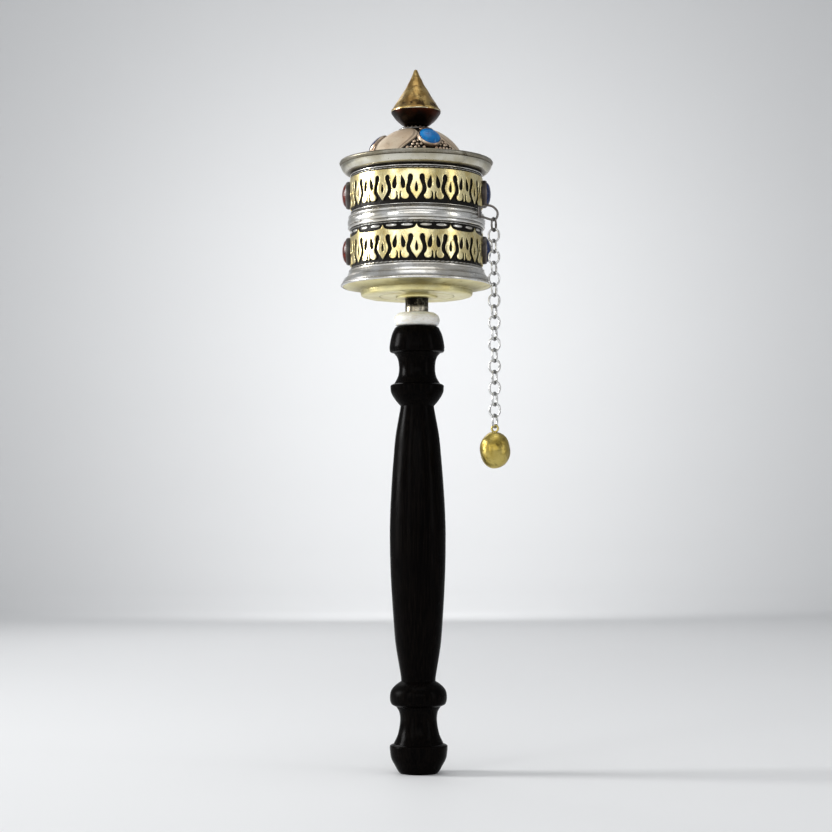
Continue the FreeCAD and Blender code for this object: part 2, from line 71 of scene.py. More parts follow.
class Graph:
    """A material under construction: its Principled shader and the nodes that feed it."""

    def __init__(self, name: str) -> None:
        """Starts a material.

        Args:
            name: the material's name.
        """
        self.material = bpy.data.materials.new(name)
        self.material.use_nodes = True
        self.nodes = self.material.node_tree.nodes
        self.links = self.material.node_tree.links
        self.shader = self.nodes["Principled BSDF"]

    def set(self, **values: object) -> None:
        """Sets the shader's own sockets; underscores stand for spaces."""
        for name, value in values.items():
            socket = self.shader.inputs[name.replace("_", " ")]
            if isinstance(value, tuple) and len(value) == 3 and len(socket.default_value) == 4:
                value = (*value, 1.0)
            socket.default_value = value

    def feed(self, source: bpy.types.NodeSocket, socket: str) -> None:
        """Links a value into one of the shader's sockets."""
        self.links.new(source, self.shader.inputs[socket])

    def _plug(self, value: object, socket: bpy.types.NodeSocket) -> None:
        """Links a socket, or sets a plain value."""
        if isinstance(value, bpy.types.NodeSocket):
            self.links.new(value, socket)
        elif isinstance(value, tuple) and len(value) == 3 and socket.type == "RGBA":
            socket.default_value = (*value, 1.0)
        else:
            socket.default_value = value

    def place(self, stretch: Point = (1.0, 1.0, 1.0)) -> bpy.types.NodeSocket:
        """Object coordinates in millimetres.

        Args:
            stretch: factor along each axis; a small one draws the pattern out that way.

        Returns:
            The vector socket.
        """
        coords = self.nodes.new("ShaderNodeTexCoord")
        mapping = self.nodes.new("ShaderNodeMapping")
        mapping.inputs["Scale"].default_value = tuple(s / MM for s in stretch)
        self.links.new(coords.outputs["Object"], mapping.inputs["Vector"])
        return mapping.outputs["Vector"]

    def turned(self, along: float, around: float) -> bpy.types.NodeSocket:
        """Coordinates of a piece turned about Z: its height, and its angle, for rings and streaks.

        Args:
            along: how fine the pattern is up the piece.
            around: how fine it is round the piece.

        Returns:
            The vector socket.
        """
        split = self.nodes.new("ShaderNodeSeparateXYZ")
        self.links.new(self.place(), split.inputs["Vector"])
        x, y, z = (split.outputs[axis] for axis in "XYZ")
        radius = self.math("SQRT", self.plus(self.times(x, x), self.times(y, y)))
        join = self.nodes.new("ShaderNodeCombineXYZ")
        safe = self.plus(radius, 0.01)
        self._plug(self.times(self.math("DIVIDE", x, safe), around), join.inputs["X"])
        self._plug(self.times(self.math("DIVIDE", y, safe), around), join.inputs["Y"])
        self._plug(self.times(self.plus(z, radius), along), join.inputs["Z"])
        return join.outputs["Vector"]

    def math(self, operation: str, a: object, b: object = 0.0) -> bpy.types.NodeSocket:
        """One arithmetic step."""
        node = self.nodes.new("ShaderNodeMath")
        node.operation = operation
        self._plug(a, node.inputs[0])
        if len(node.inputs) > 1:
            self._plug(b, node.inputs[1])
        return node.outputs[0]

    def plus(self, a: object, b: object) -> bpy.types.NodeSocket:
        """Adds two values."""
        return self.math("ADD", a, b)

    def times(self, a: object, b: object) -> bpy.types.NodeSocket:
        """Multiplies two values."""
        return self.math("MULTIPLY", a, b)

    def noise(
        self, vector: bpy.types.NodeSocket, size: float, detail: float = 4.0, distort: float = 0.0
    ) -> bpy.types.NodeSocket:
        """Cloudy noise.

        Args:
            vector: where it is read.
            size: size of its largest features, in the vector's units.
            detail: how many finer octaves it has.
            distort: how much it swirls.

        Returns:
            The value socket.
        """
        node = self.nodes.new("ShaderNodeTexNoise")
        node.inputs["Scale"].default_value = 1.0 / size
        node.inputs["Detail"].default_value = detail
        node.inputs["Distortion"].default_value = distort
        self.links.new(vector, node.inputs["Vector"])
        return node.outputs["Fac"]

    def cells(self, vector: bpy.types.NodeSocket, size: float, edges: bool = False) -> bpy.types.NodeSocket:
        """Distance inside a field of random cells, from their middles or from their edges."""
        node = self.nodes.new("ShaderNodeTexVoronoi")
        node.feature = "DISTANCE_TO_EDGE" if edges else "F1"
        node.inputs["Scale"].default_value = 1.0 / size
        self.links.new(vector, node.inputs["Vector"])
        return node.outputs["Distance"]

    def grade(self, value: bpy.types.NodeSocket, low: float, high: float) -> bpy.types.NodeSocket:
        """Stretches low..high to 0..1, smoothly; swapped limits turn it round."""
        node = self.nodes.new("ShaderNodeMapRange")
        node.interpolation_type = "SMOOTHSTEP"
        flip = low > high
        node.inputs["From Min"].default_value = min(low, high)
        node.inputs["From Max"].default_value = max(low, high)
        node.inputs["To Min"].default_value = 1.0 if flip else 0.0
        node.inputs["To Max"].default_value = 0.0 if flip else 1.0
        self.links.new(value, node.inputs["Value"])
        return node.outputs["Result"]

    def between(self, value: bpy.types.NodeSocket, low: float, high: float) -> bpy.types.NodeSocket:
        """Spreads a 0..1 value over low..high."""
        return self.plus(self.times(value, high - low), low)

    def mix(self, share: object, a: object, b: object) -> bpy.types.NodeSocket:
        """Mixes two colours."""
        node = self.nodes.new("ShaderNodeMix")
        node.data_type = "RGBA"
        self._plug(share, node.inputs[0])
        self._plug(a, node.inputs[6])
        self._plug(b, node.inputs[7])
        return node.outputs[2]

    def grime_and_shade(self) -> bpy.types.NodeSocket:
        """The grime and painted shade that the mesh code laid in the piece's hollows and contacts, 0 where
        there is none.
        """
        node = self.nodes.new("ShaderNodeAttribute")
        node.attribute_name = GRIME_AND_SHADE
        return node.outputs["Fac"]

    def bump(
        self,
        height: bpy.types.NodeSocket,
        depth: float,
        strength: float = 1.0,
        under: Optional[bpy.types.NodeSocket] = None,
    ) -> bpy.types.NodeSocket:
        """Turns a 0..1 height into relief.

        Args:
            height: the relief.
            depth: its depth in millimetres.
            strength: how much of it shows.
            under: relief that this one lies on.

        Returns:
            The normal socket.
        """
        node = self.nodes.new("ShaderNodeBump")
        node.inputs["Distance"].default_value = depth * MM
        node.inputs["Strength"].default_value = strength
        self.links.new(height, node.inputs["Height"])
        if under is not None:
            self.links.new(under, node.inputs["Normal"])
        return node.outputs["Normal"]


# ---- finishes -----------------------------------------------------------------------------


class Finish(Protocol):
    """Anything that can dress a piece."""

    def material(self) -> bpy.types.Material:
        """Builds the material once."""


@dataclass(frozen=True)
class WornMetal:
    """Old polished metal: mottled colour, tarnish in patches, grime and painted shade in its hollows, fine
    scratches, dents.
    """

    name: str
    bright: Colour
    warm: Colour
    dark: Colour
    roughness: float = 0.22
    tarnish: float = 0.35
    dent: float = 0.05
    scratch: float = 0.012
    spun: bool = False
    patch: float = 5.0
    metallic: float = 1.0

    @lru_cache(maxsize=None)
    def material(self) -> bpy.types.Material:
        """Builds the material once."""
        g = Graph(self.name)
        place = g.place()
        cloud = g.noise(place, self.patch, 6.0, 0.6)
        fine = g.noise(place, 0.55, 5.0)
        colour = g.mix(g.grade(g.noise(place, self.patch * 1.7, 3.0), 0.35, 0.68), self.bright, self.warm)
        stain = g.times(g.grade(cloud, 0.72 - 0.3 * self.tarnish, 0.86 - 0.2 * self.tarnish), self.tarnish)
        # The grime-and-shade value darkens hollows and contacts: tarnish, and painted shade.
        grooves = g.times(g.grime_and_shade(), g.between(g.grade(fine, 0.3, 0.6), 0.75, 1.0))
        dirt_and_shade = g.math("MINIMUM", g.plus(stain, grooves), 1.0)
        pits = g.times(g.grade(fine, 0.38, 0.27), self.tarnish)
        dirt_and_shade = g.math("MAXIMUM", dirt_and_shade, pits)
        g.feed(g.mix(dirt_and_shade, colour, self.dark), "Base Color")
        grain = g.turned(9.0, 1.2) if self.spun else g.place((0.5, 7.0, 0.5))
        lines = g.noise(grain, 1.0, 4.0)
        rough = g.plus(g.between(lines, self.roughness * 0.7, self.roughness * 1.35), g.times(dirt_and_shade, 0.22))
        g.feed(rough, "Roughness")
        g.set(Metallic=self.metallic)
        dents = g.bump(g.noise(place, 2.6, 2.0), self.dent)
        scratches = g.bump(lines, self.scratch, 0.8, dents)
        g.feed(g.bump(fine, 0.01, 0.7, scratches), "Normal")
        return g.material


@dataclass(frozen=True)
class OxideGround:
    """Black oxidised sheet behind the ornament: stippled, with rubbed brown high spots."""

    name: str
    black: Colour = (0.008, 0.007, 0.006)
    brown: Colour = (0.14, 0.085, 0.04)
    rubbed: float = 0.3

    @lru_cache(maxsize=None)
    def material(self) -> bpy.types.Material:
        """Builds the material once."""
        g = Graph(self.name)
        place = g.place()
        stipple = g.cells(place, 0.62)
        cloud = g.noise(place, 2.3, 5.0, 0.8)
        worn = g.times(g.grade(cloud, 0.56, 0.7), g.grade(stipple, 0.45, 0.2))
        g.feed(g.mix(g.times(worn, self.rubbed), self.black, self.brown), "Base Color")
        g.feed(g.between(g.grade(cloud, 0.3, 0.7), 0.34, 0.62), "Roughness")
        g.set(Metallic=0.85)
        g.feed(g.bump(stipple, 0.09, 0.9, g.bump(cloud, 0.12)), "Normal")
        return g.material


@dataclass(frozen=True)
class EbonisedWood:
    """Turned black wood under a thin satin polish, with faint lengthwise grain and tool lines."""

    name: str = "ebonised_wood"

    @lru_cache(maxsize=None)
    def material(self) -> bpy.types.Material:
        """Builds the material once."""
        g = Graph(self.name)
        fibre = g.noise(g.place((2.2, 2.2, 0.09)), 1.3, 6.0, 0.3)
        pores = g.grade(g.noise(g.place((5.0, 5.0, 0.22)), 1.0, 3.0), 0.34, 0.28)
        tool = g.noise(g.turned(3.2, 0.3), 1.0, 3.0)
        handled = g.grade(g.noise(g.place(), 16.0, 3.0), 0.42, 0.64)
        black, brown = (0.0012, 0.001, 0.001), (0.004, 0.003, 0.0025)
        g.feed(g.mix(g.grade(fibre, 0.35, 0.75), black, brown), "Base Color")
        rough = g.plus(g.between(handled, 0.2, 0.36), g.times(pores, 0.2))
        g.feed(rough, "Roughness")
        g.set(Specular_IOR_Level=0.015)
        lines = g.bump(tool, 0.012, 0.8)
        g.feed(g.bump(g.math("SUBTRACT", fibre, pores), 0.02, 0.6, lines), "Normal")
        return g.material


@dataclass(frozen=True)
class PolishedShell:
    """White conch shell: faint warm growth bands and a soft polish."""

    name: str = "white_shell"

    @lru_cache(maxsize=None)
    def material(self) -> bpy.types.Material:
        """Builds the material once."""
        g = Graph(self.name)
        bands = g.noise(g.place((0.25, 0.4, 1.6)), 1.4, 5.0, 1.2)
        cloud = g.noise(g.place(), 2.5, 4.0)
        colour = g.mix(g.grade(bands, 0.4, 0.72), (0.82, 0.82, 0.79), (0.7, 0.67, 0.59))
        pits = g.grade(g.noise(g.place(), 0.35, 2.0), 0.3, 0.24)
        # The bore and edges go brown by the grime-and-shade value: grime, and painted shade.
        g.feed(g.mix(g.math("MAXIMUM", pits, g.grime_and_shade()), colour, (0.3, 0.24, 0.17)), "Base Color")
        g.feed(g.between(cloud, 0.16, 0.4), "Roughness")
        g.set(Subsurface_Weight=0.15, Subsurface_Radius=(0.9, 0.7, 0.5), Subsurface_Scale=0.0012)
        g.feed(g.bump(bands, 0.03, 0.6), "Normal")
        return g.material


class StoneKind(Enum):
    """The cabochons' stones: body, cloud and vein colours, and how much fleck they carry."""

    TURQUOISE = ((0.002, 0.14, 0.42), (0.003, 0.19, 0.5), (0.004, 0.05, 0.14), 0.0)
    LAPIS = ((0.003, 0.008, 0.035), (0.01, 0.025, 0.1), (0.1, 0.12, 0.2), 0.7)
    CORAL = ((0.06, 0.007, 0.004), (0.15, 0.02, 0.01), (0.02, 0.004, 0.003), 0.0)


@dataclass(frozen=True)
class Cabochon:
    """A polished stone with clouds, veins and, in lapis, small bright flecks."""

    kind: StoneKind

    @lru_cache(maxsize=None)
    def material(self) -> bpy.types.Material:
        """Builds the material once."""
        body, cloud, vein, fleck = self.kind.value
        g = Graph(self.kind.name.lower())
        place = g.place()
        mottled = g.mix(g.grade(g.noise(place, 2.2, 5.0, 1.0), 0.36, 0.66), body, cloud)
        veins = g.grade(g.cells(g.place((1.0, 1.0, 1.3)), 2.6, edges=True), 0.06, 0.0)
        broken = g.times(veins, g.grade(g.noise(place, 1.6, 3.0), 0.45, 0.62))
        colour = g.mix(g.times(broken, 0.8), mottled, vein)
        flecks = g.times(g.grade(g.noise(place, 0.3, 1.0), 0.7, 0.78), fleck)
        g.feed(g.mix(flecks, colour, (0.75, 0.58, 0.25)), "Base Color")
        g.feed(g.between(g.noise(place, 0.9, 4.0), 0.1, 0.32), "Roughness")
        g.set(Specular_IOR_Level=0.3)
        g.feed(g.bump(g.noise(place, 1.1, 3.0), 0.05, 0.6), "Normal")
        return g.material


@dataclass(frozen=True)
class WoundPaper:
    """Aged paper. Its ends show the edges of the winding."""

    name: str
    pale: Colour
    aged: Colour
    turns: float = 0.0

    @lru_cache(maxsize=None)
    def material(self) -> bpy.types.Material:
        """Builds the material once."""
        g = Graph(self.name)
        place = g.place()
        fibre = g.noise(g.place((1.0, 1.0, 0.4)), 0.5, 6.0)
        stained = g.mix(g.grade(g.noise(place, 7.0, 4.0), 0.4, 0.7), self.pale, self.aged)
        rings = g.noise(g.turned(self.turns, 0.15), 1.0, 3.0) if self.turns else fibre
        edge = g.grade(rings, 0.42, 0.58)
        g.feed(g.mix(g.times(edge, 0.45), stained, self.aged), "Base Color")
        g.feed(g.between(fibre, 0.75, 0.95), "Roughness")
        g.feed(g.bump(rings, 0.08, 0.8, g.bump(fibre, 0.02)), "Normal")
        return g.material


@dataclass(frozen=True)
class TwistedThread:
    """Dyed cotton thread with its twist."""

    name: str = "thread"

    @lru_cache(maxsize=None)
    def material(self) -> bpy.types.Material:
        """Builds the material once."""
        g = Graph(self.name)
        twist = g.noise(g.place((6.0, 6.0, 9.0)), 1.6, 4.0, 0.8)
        g.feed(g.mix(twist, (0.22, 0.01, 0.012), (0.5, 0.04, 0.04)), "Base Color")
        g.feed(g.between(twist, 0.7, 0.95), "Roughness")
        g.set(Sheen_Weight=0.3)
        g.feed(g.bump(twist, 0.1), "Normal")
        return g.material


@dataclass(frozen=True)
class StudioPaint:
    """The studio's matt floor and backdrop."""

    name: str = "studio_paint"
    tone: Colour = (0.78, 0.785, 0.79)

    @lru_cache(maxsize=None)
    def material(self) -> bpy.types.Material:
        """Builds the material once."""
        g = Graph(self.name)
        cloud = g.noise(g.place(), 400.0, 2.0)
        g.feed(g.mix(cloud, self.tone, tuple(c * 1.03 for c in self.tone)), "Base Color")
        g.set(Roughness=0.6, Specular_IOR_Level=0.25)
        return g.material


SILVER = WornMetal(
    "silver", bright=(0.78, 0.775, 0.75), warm=(0.6, 0.57, 0.5), dark=(0.045, 0.034, 0.022),
    roughness=0.22, tarnish=0.45, spun=True
)
RIM_SILVER = WornMetal(
    "rim_silver", bright=(0.68, 0.66, 0.57), warm=(0.5, 0.46, 0.34), dark=(0.06, 0.043, 0.02),
    roughness=0.22, tarnish=0.38, spun=True
)
DISH_BRASS = WornMetal(
    "dish_brass", bright=(0.84, 0.77, 0.42), warm=(0.7, 0.6, 0.26), dark=(0.09, 0.065, 0.02),
    roughness=0.3, tarnish=0.4, dent=0.12, spun=True
)
PALE_GOLD = WornMetal(
    "pale_gold", bright=(0.9, 0.8, 0.46), warm=(0.72, 0.58, 0.25), dark=(0.12, 0.07, 0.025),
    roughness=0.27, tarnish=0.4, dent=0.08, patch=3.0
)
COPPER_SILVER = WornMetal(
    "copper_silver", bright=(0.6, 0.48, 0.36), warm=(0.42, 0.28, 0.19), dark=(0.04, 0.023, 0.014),
    roughness=0.34, tarnish=0.55, dent=0.05, patch=3.0
)
SATIN_PETAL = WornMetal(
    "satin_petal", bright=(0.6, 0.5, 0.37), warm=(0.5, 0.38, 0.26), dark=(0.08, 0.05, 0.03),
    roughness=0.5, tarnish=0.4, dent=0.06, patch=4.0, metallic=0.5
)
# Dark wire for the cups, the eye and the lid wires; on the top link of the chain it is painted shade.
DARK_WIRE_AND_SHADE = WornMetal(
    "dark_wire", bright=(0.2, 0.19, 0.18), warm=(0.12, 0.1, 0.09), dark=(0.02, 0.016, 0.012),
    roughness=0.32, tarnish=0.4
)
OLD_STEEL = WornMetal(
    "old_steel", bright=(0.58, 0.55, 0.46), warm=(0.3, 0.26, 0.18), dark=(0.006, 0.005, 0.004),
    roughness=0.26, tarnish=0.8, spun=True
)
PLAIN_STEEL = WornMetal(
    "steel", bright=(0.56, 0.55, 0.53), warm=(0.48, 0.46, 0.43), dark=(0.1, 0.08, 0.06), roughness=0.28,
    tarnish=0.3, spun=True
)
BUSH_BRASS = WornMetal(
    "bush_brass", bright=(0.8, 0.62, 0.3), warm=(0.7, 0.5, 0.2), dark=(0.2, 0.12, 0.05), roughness=0.3,
    tarnish=0.3, spun=True
)
FINIAL_BRASS = WornMetal(
    "finial_brass", bright=(0.56, 0.4, 0.15), warm=(0.3, 0.18, 0.055), dark=(0.05, 0.028, 0.01),
    roughness=0.32, tarnish=0.8, dent=0.16, scratch=0.02, patch=3.2
)
PALE_BRASS = WornMetal(
    "pale_brass", bright=(0.84, 0.78, 0.58), warm=(0.7, 0.6, 0.36), dark=(0.2, 0.13, 0.05),
    roughness=0.3, tarnish=0.4, patch=2.0
)
# Near-black brass for the finial's bowl: painted shade, a darkened copy of the finial's brass.
SHADED_BRASS = WornMetal(
    "dark_brass", bright=(0.014, 0.009, 0.006), warm=(0.06, 0.012, 0.005), dark=(0.006, 0.004, 0.003),
    roughness=0.3, tarnish=0.6, dent=0.08
)
CHAIN_SILVER = WornMetal(
    "chain_silver", bright=(0.7, 0.7, 0.69), warm=(0.55, 0.54, 0.52), dark=(0.06, 0.055, 0.05),
    roughness=0.2, tarnish=0.35, dent=0.02
)
BALL_BRASS = WornMetal(
    "ball_brass", bright=(0.56, 0.45, 0.14), warm=(0.4, 0.29, 0.06), dark=(0.04, 0.025, 0.006),
    roughness=0.34, tarnish=0.7, dent=0.3, patch=3.5
)
BLACK_OXIDE = OxideGround("black_oxide")


# ---- mesh helpers -------------------------------------------------------------------------


def with_grime_and_shade(points: Iterable[Point]) -> list[Point]:
    """Gives each point its grime and painted shade, 0 where it names none."""
    return [(*point, 0.0)[:3] for point in points]


def hump(value: float, middle: float, width: float) -> float:
    """A smooth hump, 1 at its middle and nearly 0 two widths away."""
    return math.exp(-(((value - middle) / width) ** 2))


@dataclass
class Outline:
    """Half a turned section: radius, height, and grime and painted shade of each point, in millimetres."""

    points: list[Point] = field(default_factory=list)

    def line(self, *points: Point) -> "Outline":
        """Adds straight stretches to each point; a third number is the grime and painted shade there."""
        self.points += with_grime_and_shade(points)
        return self

    def curve(self, *points: Point, steps: int = 6) -> "Outline":
        """Adds a smooth stretch through each point.

        Args:
            points: where it passes.
            steps: pieces between two points.

        Returns:
            The outline itself.
        """
        knots = [Vector(point) for point in (self.points[-1], *with_grime_and_shade(points))]
        guides = [2 * knots[0] - knots[1]] + knots + [2 * knots[-1] - knots[-2]]
        for i in range(len(knots) - 1):
            before, start, end, after = guides[i : i + 4]
            span = (end - start).length
            lead = (end - before) * (span / max((end - start).length + (start - before).length, 1e-6))
            trail = (after - start) * (span / max((after - end).length + (end - start).length, 1e-6))
            for k in range(1, steps + 1):
                t = k / steps
                keep, gain = 2 * t**3 - 3 * t**2 + 1, t**3 - 2 * t**2 + t
                reach, hold = -2 * t**3 + 3 * t**2, t**3 - t**2
                self.points.append(tuple(keep * start + gain * lead + reach * end + hold * trail))
        return self

    def arc(self, centre: Point, radius: float, first: float, last: float, steps: int = 8) -> "Outline":
        """Adds a round stretch.

        Args:
            centre: radius and height of its middle.
            radius: its own radius.
            first: starting angle in degrees, 0 pointing outwards and 90 up.
            last: ending angle.
            steps: pieces along it.

        Returns:
            The outline itself.
        """
        for k in range(steps + 1):
            angle = math.radians(first + (last - first) * k / steps)
            out, up = radius * math.cos(angle), radius * math.sin(angle)
            self.points.append((centre[0] + out, centre[1] + up, 0.0))
        return self


def lathe(outline: Outline, steps: int = 96, closed: bool = False) -> bmesh.types.BMesh:
    """Turns an outline round Z.

    Args:
        outline: the section; open ones start and end on the axis or stay open shells.
        steps: segments round the piece.
        closed: whether the last point joins the first.

    Returns:
        The mesh.
    """
    bm = bmesh.new()
    layer = bm.verts.layers.float.new(GRIME_AND_SHADE)
    verts = []
    # Each point's third number goes on its vertex as grime and painted shade.
    for radius, height, grime_and_shade in outline.points:
        vert = bm.verts.new((radius * MM, 0.0, height * MM))
        vert[layer] = grime_and_shade
        verts.append(vert)
    pairs = list(zip(verts, verts[1:])) + ([(verts[-1], verts[0])] if closed else [])
    edges = [bm.edges.new(pair) for pair in pairs]
    bmesh.ops.spin(
        bm,
        geom=verts + edges,
        cent=(0, 0, 0),
        axis=(0, 0, 1),
        dvec=(0, 0, 0),
        angle=math.tau,
        steps=steps,
        use_merge=True,
        use_normal_flip=False,
        use_duplicate=False,
    )
    bmesh.ops.remove_doubles(bm, verts=bm.verts, dist=1e-7)
    bmesh.ops.recalc_face_normals(bm, faces=bm.faces)
    return bm


def lump(bm: bmesh.types.BMesh, height: float, size: float, seed: float = 0.0) -> None:
    """Pushes a surface in and out a little, as handwork does.

    Args:
        bm: the mesh.
        height: furthest push in millimetres.
        size: size of a lump in millimetres.
        seed: which lumps.
    """
    bm.normal_update()
    shift = Vector((seed, seed * 0.7, -seed))
    moves = [(v, v.normal * noise.noise(v.co / (size * MM) + shift) * height * MM) for v in bm.verts]
    for vert, move in moves:
        vert.co += move


def torus(ring: float, wire: float, around: int = 96, section: int = 10) -> bmesh.types.BMesh:
    """A round ring about Z, from its ring radius and wire radius in millimetres."""
    outline = Outline()
    for k in range(section):
        angle = math.tau * k / section
        outline.line((ring + wire * math.cos(angle), wire * math.sin(angle)))
    return lathe(outline, around, closed=True)


def bead(radius: float, fine: int = 2) -> bmesh.types.BMesh:
    """A small soldered ball, with grime and painted shade round its foot.

    Args:
        radius: its radius in millimetres.
        fine: how finely it is divided.

    Returns:
        The mesh, standing up +Z over the origin.
    """
    bm = bmesh.new()
    layer = bm.verts.layers.float.new(GRIME_AND_SHADE)
    bmesh.ops.create_icosphere(bm, subdivisions=fine, radius=radius * MM)
    for vert in bm.verts:
        # Darker towards the foot: grime, and painted shade where the ball meets the surface.
        vert[layer] = min(1.0, max(0.0, 0.75 - vert.co.z / (radius * MM) * 1.1))
    return bm


def moved(bm: bmesh.types.BMesh, matrix: Matrix) -> bmesh.types.BMesh:
    """Moves a whole mesh by a matrix and returns it."""
    bmesh.ops.transform(bm, matrix=matrix, verts=bm.verts)
    return bm


def shift(x: float = 0.0, y: float = 0.0, z: float = 0.0) -> Matrix:
    """A move in millimetres."""
    return Matrix.Translation(Vector((x, y, z)) * MM)


def turn(degrees: float, axis: str = "Z") -> Matrix:
    """A turn about one axis through the origin."""
    return Matrix.Rotation(math.radians(degrees), 4, axis)


def stretch(x: float, y: float, z: float) -> Matrix:
    """A scale by a factor along each axis."""
    return Matrix.Diagonal((x, y, z, 1.0))


def joined(parts: Iterable[bmesh.types.BMesh]) -> bmesh.types.BMesh:
    """Puts several meshes into one and frees them."""
    whole = bmesh.new()
    whole.verts.layers.float.new(GRIME_AND_SHADE)
    for part in parts:
        data = bpy.data.meshes.new("part")
        part.to_mesh(data)
        part.free()
        whole.from_mesh(data)
        bpy.data.meshes.remove(data)
    return whole


@dataclass(frozen=True)
class Home:
    """Where a piece belongs: its body, the record's material slot, and the nodes it stands for."""

    body: str
    slot: str
    nodes: tuple[str, ...] = ()


def finish_piece(
    name: str, bm: bmesh.types.BMesh, finish: Finish, home: Home, sharp: float = 38.0
) -> bpy.types.Object:
    """Turns a mesh into a finished, dressed and mounted piece.

    Args:
        name: the piece's name.
        bm: its mesh, which is freed.
        finish: a finish with a material method.
        home: where it belongs.
        sharp: edges that bend more than this many degrees stay crisp.

    Returns:
        The object.
    """
    data = bpy.data.meshes.new(name)
    for face in bm.faces:
        face.smooth = True
    bm.to_mesh(data)
    bm.free()
    data.set_sharp_from_angle(angle=math.radians(sharp))
    piece = bpy.data.objects.new(name, data)
    bpy.context.scene.collection.objects.link(piece)
    data.materials.append(finish.material())
    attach(piece, home.body)
    if home.nodes:
        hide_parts(*home.nodes)
    log.info("%s: %d faces on %s", name, len(data.polygons), home.body)
    return piece


def turned_piece(
    name: str,
    outline: Outline,
    finish: Finish,
    home: Home,
    steps: int = ROUND,
    sharp: float = 38.0,
    lumps: Optional[tuple[float, float, float]] = None,
) -> bpy.types.Object:
    """Turns a closed outline round Z and finishes it.

    Args:
        name: the piece's name.
        outline: its section.
        finish: what it looks like.
        home: where it belongs.
        steps: segments round it.
        sharp: edges that bend more than this many degrees stay crisp.
        lumps: height, size and seed of its handwork.

    Returns:
        The object.
    """
    bm = lathe(outline, steps, closed=True)
    if lumps:
        lump(bm, *lumps)
    return finish_piece(name, bm, finish, home, sharp)


def curve_mesh(curve: bpy.types.Curve) -> bmesh.types.BMesh:
    """Makes a welded mesh of a curve, in the curve's own units, and removes the curve."""
    holder = bpy.data.objects.new(curve.name, curve)
    bpy.context.scene.collection.objects.link(holder)
    bpy.context.view_layer.update()
    mesh = bpy.data.meshes.new_from_object(holder.evaluated_get(bpy.context.evaluated_depsgraph_get()))
    bpy.data.objects.remove(holder)
    bpy.data.curves.remove(curve)
    bm = bmesh.new()
    bm.from_mesh(mesh)
    bpy.data.meshes.remove(mesh)
    bmesh.ops.remove_doubles(bm, verts=bm.verts, dist=1e-4)
    return bm


def dress_node(node: str, finish: Finish) -> None:
    """Gives a node of the frame its finish."""
    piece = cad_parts[node]
    for slot in piece.material_slots:
        slot.material = finish.material()
    log.info("%s: kept from the frame", node)


def node_heights(node: str) -> tuple[float, float]:
    """The lowest and highest point of a node, in millimetres."""
    low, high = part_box(node)
    return low.z / MM, high.z / MM


def node_radius(node: str) -> float:
    """The outer radius of a node that is round about Z, in millimetres."""
    low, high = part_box(node)
    return (high.y - low.y) / 2 / MM


# ---- handle and bearing -------------------------------------------------------------------


@dataclass
class Handle:
    """The turned handle and its rod."""

    top: float = node_heights("handle")[1]

    def outline(self) -> Outline:
        """The turned section: foot, coves between beads, belly grip and knob."""
        outline = Outline().line((0, 0), (7.3, 0))
        outline.curve((8.1, 0.8), (9.2, 2.7), (10.9, 6.0), (11.45, 9.6))
        outline.curve((11.4, 10.9), (10.95, 11.3)).line((9.9, 11.7))
        outline.curve((8.2, 15.5), (7.3, 20.8), (7.65, 24.2), (8.8, 26.3))
        outline.curve((10.7, 27.4), (11.3, 29.9), (10.8, 32.7), (9.2, 34.7), (6.8, 36.4))
        outline.curve((6.85, 37.6), (9.3, 54.1), (11.1, 94.0), (9.0, 130.5), (6.6, 145.3), steps=12)
        outline.curve((8.7, 147.8), (10.35, 150.7), (10.67, 153.2))
        outline.line((10.4, 153.7), (9.1, 154.3))
        outline.curve((7.6, 157.2), (7.15, 160.7), (7.8, 164.5), (9.2, 166.4))
        outline.line((10.5, 166.8), (10.85, 167.3))
        outline.curve((10.9, 169.2), (10.1, 173.4), (8.9, 176.2), (8.3, self.top))
        return outline.line((2.05, self.top), (2.05, self.top - 4.0), (0, self.top - 4.0))

    def build(self) -> None:
        """Makes the handle and dresses the rod."""
        bm = lathe(self.outline(), ROUND)
        home = Home("handle", "ebonised_wood", ("handle",))
        finish_piece("turned_handle", bm, EbonisedWood(), home, sharp=30.0)
        dress_node("spindle", PLAIN_STEEL)


@dataclass
class Bearing:
    """What the drum turns on: the white ring, the ferrule, and the brass bushes."""

    bore: float = 2.08
    radius: float = node_radius("shell_bearing_ring")

    def ring(self) -> None:
        """The white ring, softly rounded and a little fuller below."""
        low, high = node_heights("shell_bearing_ring")
        r = self.radius
        # Third numbers: grime and painted shade at the bore and on the flat faces.
        outline = Outline().line((self.bore, low, 0.9), (r - 2.2, low, 0.5))
        outline.curve((r - 0.6, low + 0.65), (r, low + 2.5), (r - 0.45, low + 4.2), (r - 2.0, high - 0.15))
        outline.line((r - 2.6, high), (self.bore + 0.4, high, 0.6), (self.bore, high - 0.3, 0.9))
        home = Home("bearing_ring", "white_shell", ("shell_bearing_ring",))
        turned_piece(
            "white_bearing_ring", outline, PolishedShell(), home, 96, sharp=50.0, lumps=(0.09, 5.0, 3.1)
        )

    def ferrule(self) -> None:
        """The steel tube under the drum, with a faint turned groove; its upper part is painted dark as the
        shadow under the drum.
        """
        low, high = node_heights("lower_bearing_tube")
        r = node_radius("lower_bearing_tube")
        wall = 0.8
        outline = Outline().line((r - wall, low, 0.9), (r - 0.25, low, 0.3), (r, low + 0.25))
        # From low + 2.3 up, the tube takes the full value: painted shadow under the drum.
        outline.line((r, low + 1.7, 0.1), (r, low + 2.3, 0.8), (r - 0.05, low + 2.8, 1.0))
        outline.line((r, high - 3.4, 1.0), (r, high, 1.0), (r - wall, high, 1.0))
        home = Home("drum", "old_steel", ("lower_bearing_tube",))
        turned_piece("steel_ferrule", outline, OLD_STEEL, home, 72, sharp=25.0)

    def build(self) -> None:
        """Makes the ring and the ferrule and dresses the bushes."""
        self.ring()
        self.ferrule()
        dress_node("lower_bush", BUSH_BRASS)
        dress_node("lid_bush", BUSH_BRASS)


# ---- drum ---------------------------------------------------------------------------------


